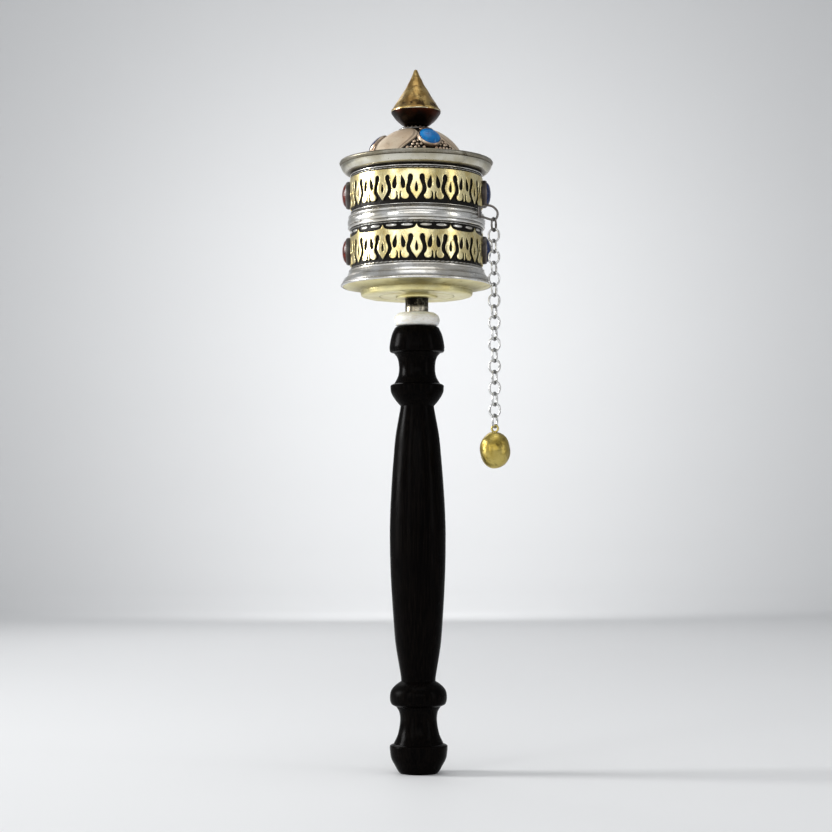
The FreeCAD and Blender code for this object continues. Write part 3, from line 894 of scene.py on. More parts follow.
@dataclass
class DrumBody:
    """The drum's shell, mouldings, bottom and fine wires."""

    shell_r: float = node_radius("drum_shell")

    def bottom(self) -> None:
        """The spun brass bottom: a stepped dish with a raised boss ring round the ferrule."""
        low, _ = node_heights("bottom_plate")
        tube = node_radius("lower_bearing_tube")
        # Third numbers: grime and painted shade in the steps and round the ferrule.
        outline = Outline().line((tube, low, 0.9), (tube + 4.5, low), (tube + 9.0, low))
        outline.line((14.4, low), (14.8, low + 0.22, 0.6), (15.2, low), (21.0, low))
        outline.curve((21.95, low + 0.35), (22.25, low + 1.1)).line((22.35, low + 2.1, 0.5))
        outline.line((22.9, low + 2.55, 0.7), (29.35, 192.98), (29.35, 193.75), (21.7, 192.2))
        outline.line((21.4, low + 1.2), (21.0, low + 0.8), (tube, low + 0.8))
        home = Home("drum", "dish_brass", ("bottom_plate",))
        turned_piece("brass_bottom", outline, DISH_BRASS, home, sharp=30.0, lumps=(0.12, 6.0, 1.7))
        ring_low, ring_high = node_heights("boss_ring")
        outer = node_radius("boss_ring")
        # Third numbers: grime and painted shade where the boss meets the ferrule.
        boss = Outline().line((tube + 0.02, ring_high + 0.1, 0.8), (tube + 0.02, ring_low + 0.1, 0.8))
        boss.line((tube + 0.6, ring_low, 0.3), (outer - 0.9, ring_low))
        boss.curve((outer - 0.25, ring_low + 0.25), (outer, ring_low + 0.75))
        boss.line((outer, ring_high + 0.1, 0.8))
        home = Home("drum", "dish_brass", ("boss_ring",))
        turned_piece("boss_ring_brass", boss, DISH_BRASS, home, 96, sharp=30.0, lumps=(0.08, 2.5, 8.0))

    def skirt(self) -> None:
        """The flared silver foot of the drum, stepped under the lower band."""
        s = self.shell_r
        rim = node_radius("bottom_skirt")
        # Third numbers: grime and painted shade in the steps and where the skirt meets the shell.
        outline = Outline().line((s, 193.15, 0.6), (29.4, 193.85), (29.4, 192.9, 0.4), (rim - 0.5, 192.9))
        outline.arc((rim - 0.45, 193.35), 0.44, -80, 60, 6).line((rim - 0.55, 193.95, 0.7))
        outline.curve((29.45, 194.75), (28.8, 195.95)).line((28.45, 196.05, 0.8), (28.3, 196.2, 0.5))
        outline.curve((27.6, 197.1), (27.1, 198.25)).line((26.85, 198.4, 0.9))
        outline.arc((26.6, 198.85), 0.44, -50, 90, 6).line((s, 199.35, 1.0))
        home = Home("drum", "silver", ("bottom_skirt",))
        turned_piece("silver_skirt", outline, SILVER, home, sharp=28.0, lumps=(0.09, 9.0, 5.2))

    def middle(self) -> None:
        """The silver moulding between the bands: a broad belt between two beads."""
        s = self.shell_r
        # Third numbers: grime and painted shade in the steps and where the belt meets the shell.
        outline = Outline().line((s, 215.6, 1.0), (26.75, 215.62, 0.5))
        outline.arc((26.75, 216.18), 0.55, -80, 80, 7).line((26.78, 216.85, 0.95), (27.05, 217.05, 0.2))
        outline.curve((27.38, 217.7), (27.38, 218.9), (27.05, 219.55))
        outline.line((26.75, 219.78, 0.95), (26.9, 219.9, 0.4)).arc((26.68, 220.48), 0.5, -60, 75, 6)
        outline.line((26.35, 221.3, 0.9), (26.15, 221.75, 0.8), (s, 221.8, 1.0))
        home = Home("drum", "silver", ("middle_ring",))
        turned_piece("silver_belt", outline, SILVER, home, sharp=28.0, lumps=(0.07, 8.0, 2.2))

    def shell(self) -> None:
        """The blackened tube behind the ornament."""
        low, high = node_heights("drum_shell")
        s = self.shell_r
        outline = Outline().line(*((s, z) for z in (low, 199.0, 207.0, 215.0, 222.5, 230.0, high)))
        outline.line((s - 0.6, high), (s - 0.6, low))
        home = Home("drum", "black_oxide", ("drum_shell",))
        turned_piece("black_shell", outline, BLACK_OXIDE, home)

    def wires(self) -> None:
        """Twisted and plain wires along the edges of the bands."""
        s = self.shell_r
        plain = {237.15: 0.24, 222.2: 0.2}
        twisted = {236.4: 0.17, 215.25: 0.2, 199.8: 0.26}
        rings = [moved(torus(s + r, r, ROUND, 8), shift(z=z)) for z, r in plain.items()]
        rings += [moved(self.rope(s + r, r), shift(z=z)) for z, r in twisted.items()]
        bm = joined(rings)
        finish_piece("band_border_wires", bm, SILVER, Home("drum", "silver", ("border_wires",)), sharp=60.0)

    def rope(self, ring: float, wire: float) -> bmesh.types.BMesh:
        """A ring of two-strand twisted wire.

        Args:
            ring: the ring's radius.
            wire: the twist's outer radius.

        Returns:
            The mesh.
        """
        steps, lays = 480, 80
        bm = torus(ring, wire, steps, 6)
        layer = bm.verts.layers.float[GRIME_AND_SHADE]
        for vert in bm.verts:
            angle = math.atan2(vert.co.y, vert.co.x)
            centre = Vector((math.cos(angle), math.sin(angle), 0.0)) * ring * MM
            off = vert.co - centre
            around = math.atan2(off.z, off.dot(centre.normalized()))
            pinch = abs(math.sin(lays * angle / 2 + around))
            vert.co = centre + off * (0.72 + 0.3 * pinch)
            # Grime and painted shade in the hollows of the twist.
            vert[layer] = 0.9 * (1 - pinch)
        return bm

    def beads(self) -> None:
        """Oval beads in the black groove over the lower band."""
        low, high = node_heights("border_beads")
        height = (low + high) / 2
        motifs = 12
        pitch = 360.0 / motifs
        offset = 0.27 * pitch
        parts = []
        for k in range(motifs):
            for side in (-1, 1):
                place = turn(-90.0 + pitch * k + side * offset) @ shift(self.shell_r + 0.05, 0, height)
                parts.append(moved(bead(1.0, 3), place @ stretch(0.46, 2.3, 0.6) @ turn(90, "Y")))
        home = Home("drum", "silver", ("border_beads",))
        finish_piece("oval_border_beads", joined(parts), SILVER, home, sharp=80.0)

    def build(self) -> None:
        """Makes the drum's plain metalwork."""
        self.bottom()
        self.skirt()
        self.middle()
        self.shell()
        self.wires()
        self.beads()


@dataclass
class OrnamentBand:
    """A raised gold plate with tongues and hooked curls below, pierced by drops in every motif."""

    node: str
    peak: float = 0.0
    motifs: int = 12
    thick: float = 0.5
    edge: float = 0.13
    base: float = 25.97
    drawn_half: float = 6.86
    drawn_height: float = 12.0

    def __post_init__(self) -> None:
        """Works out the motif's size from the node's box."""
        low, high = node_heights(self.node)
        self.low = low
        self.height = high - low - self.peak
        self.half = math.pi * (self.base + self.thick / 2) / self.motifs

    def half_motif(self) -> list[tuple[float, float, bool]]:
        """The plate's lower edge from a motif's middle to its side.

        Returns:
            Distance along, height, and whether the point is a sharp corner.
        """
        w, h = self.half / self.drawn_half, self.height / self.drawn_height
        knots = [
            (0.0, 0.1), (1.1, 1.7), (2.1, 3.3), (2.3, 5.0), (1.7, 6.8), (1.25, 8.3), (1.6, 9.5),
            (2.6, 9.75), (3.2, 8.8), (3.35, 7.0), (3.85, 5.2), (3.95, 3.6), (3.5, 2.5), (2.95, 1.7),
            (3.3, 0.6), (4.4, 0.25), (5.5, 0.7), (5.95, 2.0), (5.75, 3.3), (6.2, 3.1), (6.55, 2.0),
            (6.6, 0.5),
        ]
        corners = (0, 18, 21)
        points = [(x, y, i in corners) for i, (x, y) in enumerate(knots)]
        return [(x * w, y * h, corner) for x, y, corner in points]

    def lower_edge(self) -> list[tuple[float, float, bool]]:
        """The lower edge over two motifs' width, centred on one whole motif."""
        half, span = self.half_motif(), self.half
        foot = [(span, 0.1, True)]
        right = half + foot
        left = [(-x, y, c) for x, y, c in reversed(right)]
        far_left = [(x - 2 * span, y, c) for x, y, c in half]
        far_right = [(2 * span - x, y, c) for x, y, c in reversed(half)]
        return far_left + left + right[1:] + far_right

    def upper_edge(self) -> list[tuple[float, float, bool]]:
        """The upper edge, right to left, with a point over each motif's middle if it has peaks."""
        h, span = self.height, self.half
        edge = [(2 * span, h + self.peak, True)]
        flanks = ((1.5, 0.0), (0.5, 0.4), (0.0, 1.0), (-0.5, 0.4), (-1.5, 0.0)) if self.peak else ()
        for middle in (2 * span, 0.0, -2 * span):
            for x, y in flanks:
                if abs(middle + x) < 2 * span:
                    edge.append((middle + x, h + self.peak * y, x == 0.0))
        edge.append((-2 * span, h + self.peak, True))
        return edge

    def drop(self, x: float, low: float, high: float, half: float, lean: float = 0.0) -> list[Point]:
        """A drop-shaped closed line.

        Args:
            x: where its middle stands.
            low: height of its round end.
            high: height of its point.
            half: half its width.
            lean: how far its point bends sideways.

        Returns:
            The points.
        """
        steps = 28
        points = []
        for k in range(steps):
            t = math.tau * k / steps
            up = (1 + math.cos(t)) / 2
            wide = math.sin(t) * math.sin(t / 2) ** 1.2
            points.append((x + half * 1.25 * wide + lean * up**2, low + (high - low) * up))
        return points

    def flat_mesh(self) -> bmesh.types.BMesh:
        """The plate's motif with its neighbours' halves, flat in the XY plane, in millimetres."""
        curve = bpy.data.curves.new("motif", "CURVE")
        curve.dimensions = "2D"
        curve.fill_mode = "BOTH"
        curve.extrude = self.thick / 2 - self.edge
        curve.bevel_depth = self.edge
        curve.bevel_resolution = 2
        curve.offset = -self.edge
        curve.resolution_u = 5
        rim = self.lower_edge() + self.upper_edge()
        spline = curve.splines.new("BEZIER")
        spline.bezier_points.add(len(rim) - 1)
        for knot, (x, y, corner) in zip(spline.bezier_points, rim):
            knot.co = (x, y, 0.0)
            kind = "VECTOR" if corner else "AUTO"
            knot.handle_left_type = knot.handle_right_type = kind
        spline.use_cyclic_u = True
        h, span = self.height, self.half
        loops = [self.drop(0.0, 0.25 * h, 0.58 * h, 0.66)]
        for side in (-1, 1):
            loops.append(self.drop(side * 0.74 * span, 0.36 * h, 0.8 * h, 1.0, side * 0.75))
        for loop in loops:
            spline = curve.splines.new("POLY")
            spline.points.add(len(loop) - 1)
            for knot, (x, y) in zip(spline.points, loop):
                knot.co = (x, y, 0.0, 1.0)
            spline.use_cyclic_u = True
        return curve_mesh(curve)

    def motif(self) -> bmesh.types.BMesh:
        """One motif, cut to its own width and divided finely enough to bend."""
        bm = self.flat_mesh()
        cuts = 18
        for k in range(cuts + 1):
            x = self.half * (2 * k / cuts - 1)
            geom = bm.verts[:] + bm.edges[:] + bm.faces[:]
            bmesh.ops.bisect_plane(
                bm,
                geom=geom,
                dist=1e-5,
                plane_co=(x, 0, 0),
                plane_no=(1, 0, 0),
                clear_outer=k == cuts,
                clear_inner=k == 0,
            )
        return bm

    def build(self, name: str) -> None:
        """Makes the whole band.

        Args:
            name: the piece's name.
        """
        bm = self.motif()
        middle = self.base + self.thick / 2
        for vert in bm.verts:
            angle = FRONT + vert.co.x / middle
            radius = (middle + vert.co.z) * MM
            height = (self.low + vert.co.y) * MM
            vert.co = Vector((radius * math.cos(angle), radius * math.sin(angle), height))
        pitch = 360.0 / self.motifs
        copies = [moved(bm.copy(), turn(pitch * k)) for k in range(self.motifs)]
        bm.free()
        whole = joined(copies)
        bmesh.ops.remove_doubles(whole, verts=whole.verts, dist=2e-6)
        bmesh.ops.recalc_face_normals(whole, faces=whole.faces)
        slot = Home("drum", "pale_gold", (self.node,))
        finish_piece(name, whole, PALE_GOLD, slot, sharp=35.0)


@dataclass
class Setting:
    """An oval cabochon in a bezel, made standing up +Z with its long way along X."""

    long: float
    wide: float
    rise: float
    foot: float
    lip: float
    wall: float = 0.62

    def stone(self, seed: float) -> bmesh.types.BMesh:
        """The polished stone.

        Args:
            seed: which small unevenness it has.

        Returns:
            The mesh, its girdle at height 0.
        """
        outline = Outline().line((0, -self.foot), (0.99, -self.foot), (0.99, -0.3 * self.foot))
        outline.arc((0, 0), 1.0, 0, 90, 12)
        bm = lathe(outline, 48)
        for vert in bm.verts:
            x, y, z = vert.co / MM
            vert.co = Vector((x * self.long, y * self.wide, z * self.rise if z > 0 else z)) * MM
        lump(bm, 0.1, 3.2, seed)
        return bm

    def bezel(self) -> bmesh.types.BMesh:
        """The oval cup, with a rolled lip; its foot and the inside of its lip carry grime and painted shade.
        """
        steps, foot = 72, -self.foot - 0.6
        cup = Outline().line((0.0, foot, 1.0), (self.wall, foot, 1.0), (self.wall, -0.25 * self.foot, 0.5))
        wall, lip = self.wall, self.lip
        cup.curve((wall * 0.8, lip - 0.4, 0.1), (wall * 0.35, lip), (0.02, lip - 0.25, 0.9))
        bm = lathe(Outline([(p[0] + 1.0, p[1], p[2]) for p in cup.points]), steps, closed=True)
        for vert in bm.verts:
            radius = math.hypot(vert.co.x, vert.co.y) / MM
            angle = math.atan2(vert.co.y, vert.co.x)
            out = radius - 1.0
            vert.co.x = (self.long + 0.05 + out) * math.cos(angle) * MM
            vert.co.y = (self.wide + 0.05 + out) * math.sin(angle) * MM
        return bm


@dataclass
class DrumStones:
    """The four stones on the drum's sides."""

    heights: tuple[float, ...] = (207.2, 229.6)
    turns: dict[str, float] = field(default_factory=lambda: {"coral": 178.0, "lapis": -2.0})
    girdle: float = 27.6

    def build(self) -> None:
        """Makes both pairs of stones and their cups."""
        setting = Setting(long=4.85, wide=3.95, rise=2.05, foot=1.4, lip=0.45)
        cups = []
        for stone, angle in self.turns.items():
            places = [turn(angle) @ shift(self.girdle, 0, z) @ turn(90, "Y") for z in self.heights]
            stones = [moved(setting.stone(i * 3.7 + angle), place) for i, place in enumerate(places)]
            cups += [moved(setting.bezel(), place) for place in places]
            home = Home("drum", stone, (f"drum_{stone}_stones",))
            finish = Cabochon(StoneKind[stone.upper()])
            finish_piece(f"side_{stone}_cabochons", joined(stones), finish, home, sharp=60.0)
        home = Home("drum", "dark_wire", ("drum_bezels",))
        finish_piece("side_stone_cups", joined(cups), DARK_WIRE_AND_SHADE, home, sharp=40.0)


# ---- lid ----------------------------------------------------------------------------------


@dataclass
class Lid:
    """The flared rim, the dome and everything set on it."""

    centre: float = 235.6
    dome_r: float = 20.4
    foot: float = 241.3
    deck_r: float = 19.85
    tilt: float = 47.0
    stones: dict[str, float] = field(
        default_factory=lambda: {"turquoise": -70.0, "lapis": 170.0, "coral": 50.0}
    )
    granule_rows: tuple[float, ...] = (70.2, 66.0, 61.8, 57.5, 53.2)
    granule_step: float = 1.62
    collar_r: float = 6.6
    spigot_hole: float = 3.62

    def on_dome(self, tilt: float, azimuth: float, out: float = 0.0) -> Matrix:
        """The place of a piece on the dome.

        Args:
            tilt: degrees down from the top.
            azimuth: degrees from +X.
            out: distance outside the dome's surface.

        Returns:
            A matrix that stands +Z pieces on the surface there.
        """
        return shift(z=self.centre) @ turn(azimuth) @ turn(tilt, "Y") @ shift(z=self.dome_r + out)

    def rim(self) -> None:
        """The flared silver rim with a rolled brown lip and the spigot below."""
        low, _ = node_heights("lid_rim")
        r = node_radius("lid_rim")
        base = low + 5.0
        # Third numbers: grime and painted shade on the lip, in the steps and in the corners.
        outline = Outline().line((25.1, low, 0.4), (25.1, base, 1.0), (27.2, base, 0.9))
        outline.curve((28.6, base + 0.55), (29.6, base + 1.7), (30.05, base + 2.85, 0.1))
        outline.line((29.85, base + 3.05, 1.0), (30.15, base + 3.3, 0.75))
        outline.curve((r - 0.02, base + 4.0, 0.6), (r - 0.3, base + 4.7, 0.7)).line((29.5, base + 4.68, 0.8))
        outline.line((25.6, base + 4.0, 0.4), (self.deck_r, self.foot, 0.9), (self.deck_r, self.foot - 0.8))
        outline.line((24.4, self.foot - 0.8))
        outline.line((24.4, low))
        home = Home("lid", "silver", ("lid_rim",))
        turned_piece("silver_lid_rim", outline, RIM_SILVER, home, sharp=28.0, lumps=(0.1, 9.0, 7.7))

    def dome(self) -> None:
        """The dark dome under the petals."""
        outer, inner = self.dome_r, self.dome_r - 0.8
        edge = math.degrees(math.asin((self.foot - self.centre) / outer))
        top = math.degrees(math.acos(self.spigot_hole / outer))
        outline = Outline().arc((0, self.centre), outer, edge, top, 24)
        outline.arc((0, self.centre), inner, top, edge, 24)
        home = Home("lid", "black_oxide", ("lid_dome",))
        turned_piece("dark_dome", outline, BLACK_OXIDE, home, sharp=45.0)

    def petal_half(self, tilt: float) -> float:
        """Half a petal's width in degrees round the dome, at a number of degrees from its top."""
        drop = min(1.0, max(0.0, (tilt - 37.0) / 35.0))
        return 44.0 - 27.0 * drop * drop * (3 - 2 * drop)

    def petal(self, azimuth: float) -> bmesh.types.BMesh:
        """One smooth pillow-shaped petal with a raised wire edge.

        Args:
            azimuth: where its middle lies.

        Returns:
            The mesh.
        """
        bm = bmesh.new()
        bm.verts.layers.float.new(GRIME_AND_SHADE)
        bmesh.ops.create_grid(bm, x_segments=44, y_segments=30, size=1.0)
        layer = bm.verts.layers.float[GRIME_AND_SHADE]
        near, far = 20.4, 72.2
        for vert in bm.verts:
            across, along = vert.co.x, (vert.co.y + 1) / 2
            shoulder = math.sqrt(max(0.0, 1 - (1 - min(1.0, along * 3.2 + 0.1)) ** 2))
            half = self.petal_half(near + (far - near) * along) * shoulder
            tilt = near + (far - near) * along
            edge = max(abs(across), abs(2 * along - 1) ** 1.5)
            rim = hump(edge, 0.93, 0.045)
            puff = 0.5 * math.sqrt(max(0.0, 1 - edge**6)) + 0.16 * rim
            place = self.on_dome(tilt, azimuth + across * half, puff + 0.02)
            vert.co = place.translation
            # A dark line inside the raised edge and along the cut edge: grime and painted shade.
            groove = hump(edge, 0.84, 0.035)
            vert[layer] = min(1.0, 0.9 * groove + (0.9 if edge > 0.985 else 0.0))
        bmesh.ops.recalc_face_normals(bm, faces=bm.faces)
        outward = bm.faces[:][len(bm.faces) // 2]
        if outward.normal.dot(outward.calc_center_median() - Vector((0, 0, self.centre * MM))) < 0:
            bmesh.ops.reverse_faces(bm, faces=bm.faces)
        bmesh.ops.solidify(bm, geom=bm.faces[:], thickness=0.25 * MM)
        return bm

    def petals(self) -> None:
        """The three petals between the stones."""
        parts = [self.petal(azimuth + 60.0) for azimuth in self.stones.values()]
        home = Home("lid", "copper_silver", ("dome_petals",))
        finish_piece("dome_petal_plates", joined(parts), SATIN_PETAL, home, sharp=60.0)

    def granules(self) -> None:
        """The uneven granulation that fills the corners under each stone."""
        parts = []
        for azimuth in self.stones.values():
            for row, tilt in enumerate(self.granule_rows):
                room = 60.0 - self.petal_half(tilt) - 1.5
                step = math.degrees(self.granule_step / (self.dome_r * math.sin(math.radians(tilt))))
                count = int(2 * room / step)
                for k in range(count):
                    chance = noise.noise(Vector((azimuth * 0.31, row * 2.3, k * 1.37)))
                    spread = (k - (count - 1) / 2 + 0.5 * (row % 2)) * step + chance * 1.5
                    if self.under_cup(tilt, spread):
                        continue
                    ball = bead(0.66 * (1 + 0.4 * chance))
                    parts.append(moved(ball, self.on_dome(tilt + 1.4 * chance, azimuth + spread, 0.25)))
        home = Home("lid", "copper_silver", ("dome_granules",))
        finish_piece("dome_granulation", joined(parts), COPPER_SILVER, home, sharp=80.0)

    def under_cup(self, tilt: float, spread: float) -> bool:
        """Whether a place on the dome lies under a stone's cup."""
        down = math.radians(tilt - self.tilt) * self.dome_r
        side = math.radians(spread) * self.dome_r * math.sin(math.radians(tilt))
        cup_long, cup_wide = 5.6, 5.1
        return (down / cup_long) ** 2 + (side / cup_wide) ** 2 < 1.0

    def settings(self) -> None:
        """The three oval stones and their cups."""
        setting = Setting(long=4.55, wide=4.15, rise=2.0, foot=0.75, lip=0.42, wall=0.6)
        cups = []
        for stone, azimuth in self.stones.items():
            place = self.on_dome(self.tilt, azimuth, 0.9)
            home = Home("lid", stone, (f"dome_{stone}_stone",))
            bm = moved(setting.stone(azimuth), place)
            finish_piece(f"dome_{stone}_cabochon", bm, Cabochon(StoneKind[stone.upper()]), home, sharp=60.0)
            cups.append(moved(setting.bezel(), place))
        home = Home("lid", "copper_silver", ("dome_bezels",))
        finish_piece("dome_stone_cups", joined(cups), COPPER_SILVER, home, sharp=40.0)

    def collar(self) -> None:
        """The beads and wire round the foot of the finial, and the wire round the dome's foot."""
        count = 20
        parts = []
        for k in range(count):
            parts.append(moved(bead(0.68), self.on_dome(14.3, 360.0 * k / count, 0.45)))
        home = Home("lid", "copper_silver", ("collar_beads",))
        finish_piece("finial_collar_beads", joined(parts), COPPER_SILVER, home, sharp=80.0)
        height = self.centre + math.sqrt((self.dome_r + 0.45) ** 2 - self.collar_r**2)
        bm = moved(torus(self.collar_r, 0.42, 64, 10), shift(z=height))
        home = Home("lid", "copper_silver", ("lid_collar",))
        finish_piece("finial_collar_wire", bm, DARK_WIRE_AND_SHADE, home, sharp=60.0)
        bm = moved(torus(self.deck_r + 0.45, 0.4, ROUND, 10), shift(z=self.foot + 0.62))
        home = Home("lid", "copper_silver", ("dome_border_wire",))
        finish_piece("dome_foot_wire", bm, DARK_WIRE_AND_SHADE, home, sharp=60.0)

    def leaves(self) -> None:
        """Pairs of long beads that close the gap between two petals over each stone."""
        parts = []
        for azimuth in self.stones.values():
            for side in (-1, 1):
                place = self.on_dome(24.0, azimuth + side * 6.5, 0.4)
                parts.append(moved(bead(1.0, 3), place @ stretch(1.3, 0.72, 0.6)))
        home = Home("lid", "copper_silver")
        finish_piece("stone_crown_beads", joined(parts), COPPER_SILVER, home, sharp=80.0)

    def build(self) -> None:
        """Makes the lid."""
        self.rim()
        self.dome()
        self.petals()
        self.granules()
        self.settings()
        self.collar()
        self.leaves()


# ---- finial -------------------------------------------------------------------------------


@dataclass
class Finial:
    """The hammered cone and the bowl under it, whose brass is painted dark as its shade."""

    seam_z: float = node_heights("finial_cone")[0]
    tip_z: float = node_heights("finial_cone")[1]
    seam_r: float = node_radius("finial_cone")

    def cone(self) -> None:
        """The upper cone: slightly hollow flanks, a folded rim, and hammer marks."""
        r, low, tip = self.seam_r, self.seam_z, self.tip_z
        # Third numbers: grime and painted shade on the inside and under the fold.
        outline = Outline().line((r - 1.2, low + 0.02, 0.8), (r - 0.1, low + 0.02), (r, low + 0.3))
        outline.line((r - 0.2, low + 0.85), (r - 0.55, low + 1.05, 0.7))
        outline.curve((7.3, low + 4.4), (4.7, low + 8.6), (2.6, low + 12.2), (0.95, tip - 1.1), steps=10)
        outline.curve((0.55, tip - 0.3), (0.0, tip), steps=5)
        outline.line((0.0, tip - 2.4), (r - 1.4, low + 0.3, 0.8))
        home = Home("finial", "finial_brass", ("finial_cone",))
        turned_piece("hammered_cone", outline, FINIAL_BRASS, home, 112, sharp=45.0, lumps=(0.2, 2.6, 4.4))

    def seam(self) -> None:
        """The pale rubbed fold where the cone closes over the bowl."""
        bm = moved(torus(self.seam_r - 0.28, 0.27, 112, 10), shift(z=self.seam_z + 0.1))
        lump(bm, 0.1, 2.2, 6.1)
        finish_piece("finial_fold", bm, PALE_BRASS, Home("finial", "finial_brass"), sharp=80.0)

    def bowl(self) -> None:
        """The lower bowl, its brass painted near black as its shade."""
        low, high = node_heights("finial_bowl")
        r = self.seam_r
        # Third numbers: grime and painted shade inside the bowl.
        outline = Outline().line((3.0, low, 0.9), (3.9, low, 0.6))
        outline.curve((5.9, low + 1.3), (8.2, low + 3.4), (r - 0.05, high - 0.45), steps=8)
        outline.line((r - 0.05, high), (r - 0.75, high))
        outline.curve((7.7, high - 2.3), (5.5, high - 4.3), (3.7, low + 0.7), steps=6).line((3.0, low + 0.7))
        home = Home("finial", "dark_brass", ("finial_bowl",))
        turned_piece("shaded_bowl", outline, SHADED_BRASS, home, 112, sharp=45.0, lumps=(0.08, 3.0, 9.4))

    def build(self) -> None:
        """Makes the finial and dresses its nut."""
        self.cone()
        self.seam()
        self.bowl()
        dress_node("finial_nut", BUSH_BRASS)


# ---- scroll -------------------------------------------------------------------------------


@dataclass
class Scroll:
    """The wound paper inside the drum, blank, in a saffron wrapper tied twice."""

    core_r: float = node_radius("scroll_core")
    roll_r: float = node_radius("paper_scroll")

    def roll(self) -> None:
        """The roll, with its ends a little dished and stepped by the winding."""
        low, high = node_heights("paper_scroll")
        outline = Outline()
        turns = 34
        for k in range(turns + 1):
            r = self.core_r + (self.roll_r - self.core_r) * k / turns
            dish = 0.5 * math.sin(math.pi * k / turns)
            step = 0.09 if k % 2 else -0.02
            outline.line((r, high - 0.1 - dish + step, 0.4 if k % 2 else 0.0))
        outline.line((self.roll_r, low + 0.1), (self.core_r, low + 0.1))
        paper = WoundPaper("paper", pale=(0.72, 0.64, 0.47), aged=(0.45, 0.33, 0.18), turns=3.4)
        turned_piece(
            "wound_paper", outline, paper, Home("scroll", "paper", ("paper_scroll",)), 96, sharp=30.0
        )

    def wrapper(self) -> None:
        """The saffron wrapper, with the step of its overlap."""
        low, high = node_heights("scroll_wrapper")
        r = self.roll_r
        bm = lathe(Outline().line((r, low), (r + 0.28, low), (r + 0.28, high), (r, high)), 120, closed=True)
        for vert in bm.verts:
            angle = math.atan2(vert.co.y, vert.co.x) % math.tau
            if math.hypot(vert.co.x, vert.co.y) > (r + 0.1) * MM:
                lift = 1 - 0.004 * angle / math.tau
                vert.co.x *= lift
                vert.co.y *= lift
        saffron = WoundPaper("wrapper_paper", pale=(0.62, 0.32, 0.03), aged=(0.4, 0.16, 0.02))
        home = Home("scroll", "wrapper_paper", ("scroll_wrapper",))
        finish_piece("saffron_wrapper", bm, saffron, home, sharp=30.0)
        dress_node("scroll_core", saffron)

    def ties(self) -> None:
        """Two red threads, each with a small knot and two short ends."""
        low, high = node_heights("scroll_ties")
        parts = []
        front = turn(-100)
        for height in (low + 0.3, high - 0.3):
            parts.append(moved(torus(self.roll_r + 0.55, 0.26, 120, 8), shift(z=height)))
            knot = bmesh.new()
            bmesh.ops.create_icosphere(knot, subdivisions=3, radius=MM)
            place = front @ shift(self.roll_r + 0.7, 0, height) @ stretch(0.42, 0.8, 0.6)
            parts.append(moved(knot, place))
            for side in (-1, 1):
                end = bmesh.new()
                bmesh.ops.create_cone(
                    end, cap_ends=True, segments=8, radius1=0.22 * MM, radius2=0.16 * MM, depth=5.0 * MM
                )
                bmesh.ops.subdivide_edges(end, edges=end.edges[:], cuts=3)
                below = shift(self.roll_r + 0.6, 0, height - 2.4)
                parts.append(moved(end, turn(-100 + side * 2.2) @ below @ turn(side * 24, "X")))
        home = Home("scroll", "thread", ("scroll_ties",))
        finish_piece("red_ties", joined(parts), TwistedThread(), home, sharp=50.0)

    def build(self) -> None:
        """Makes the scroll."""
        self.roll()
        self.wrapper()
        self.ties()


# ---- chain --------------------------------------------------------------------------------


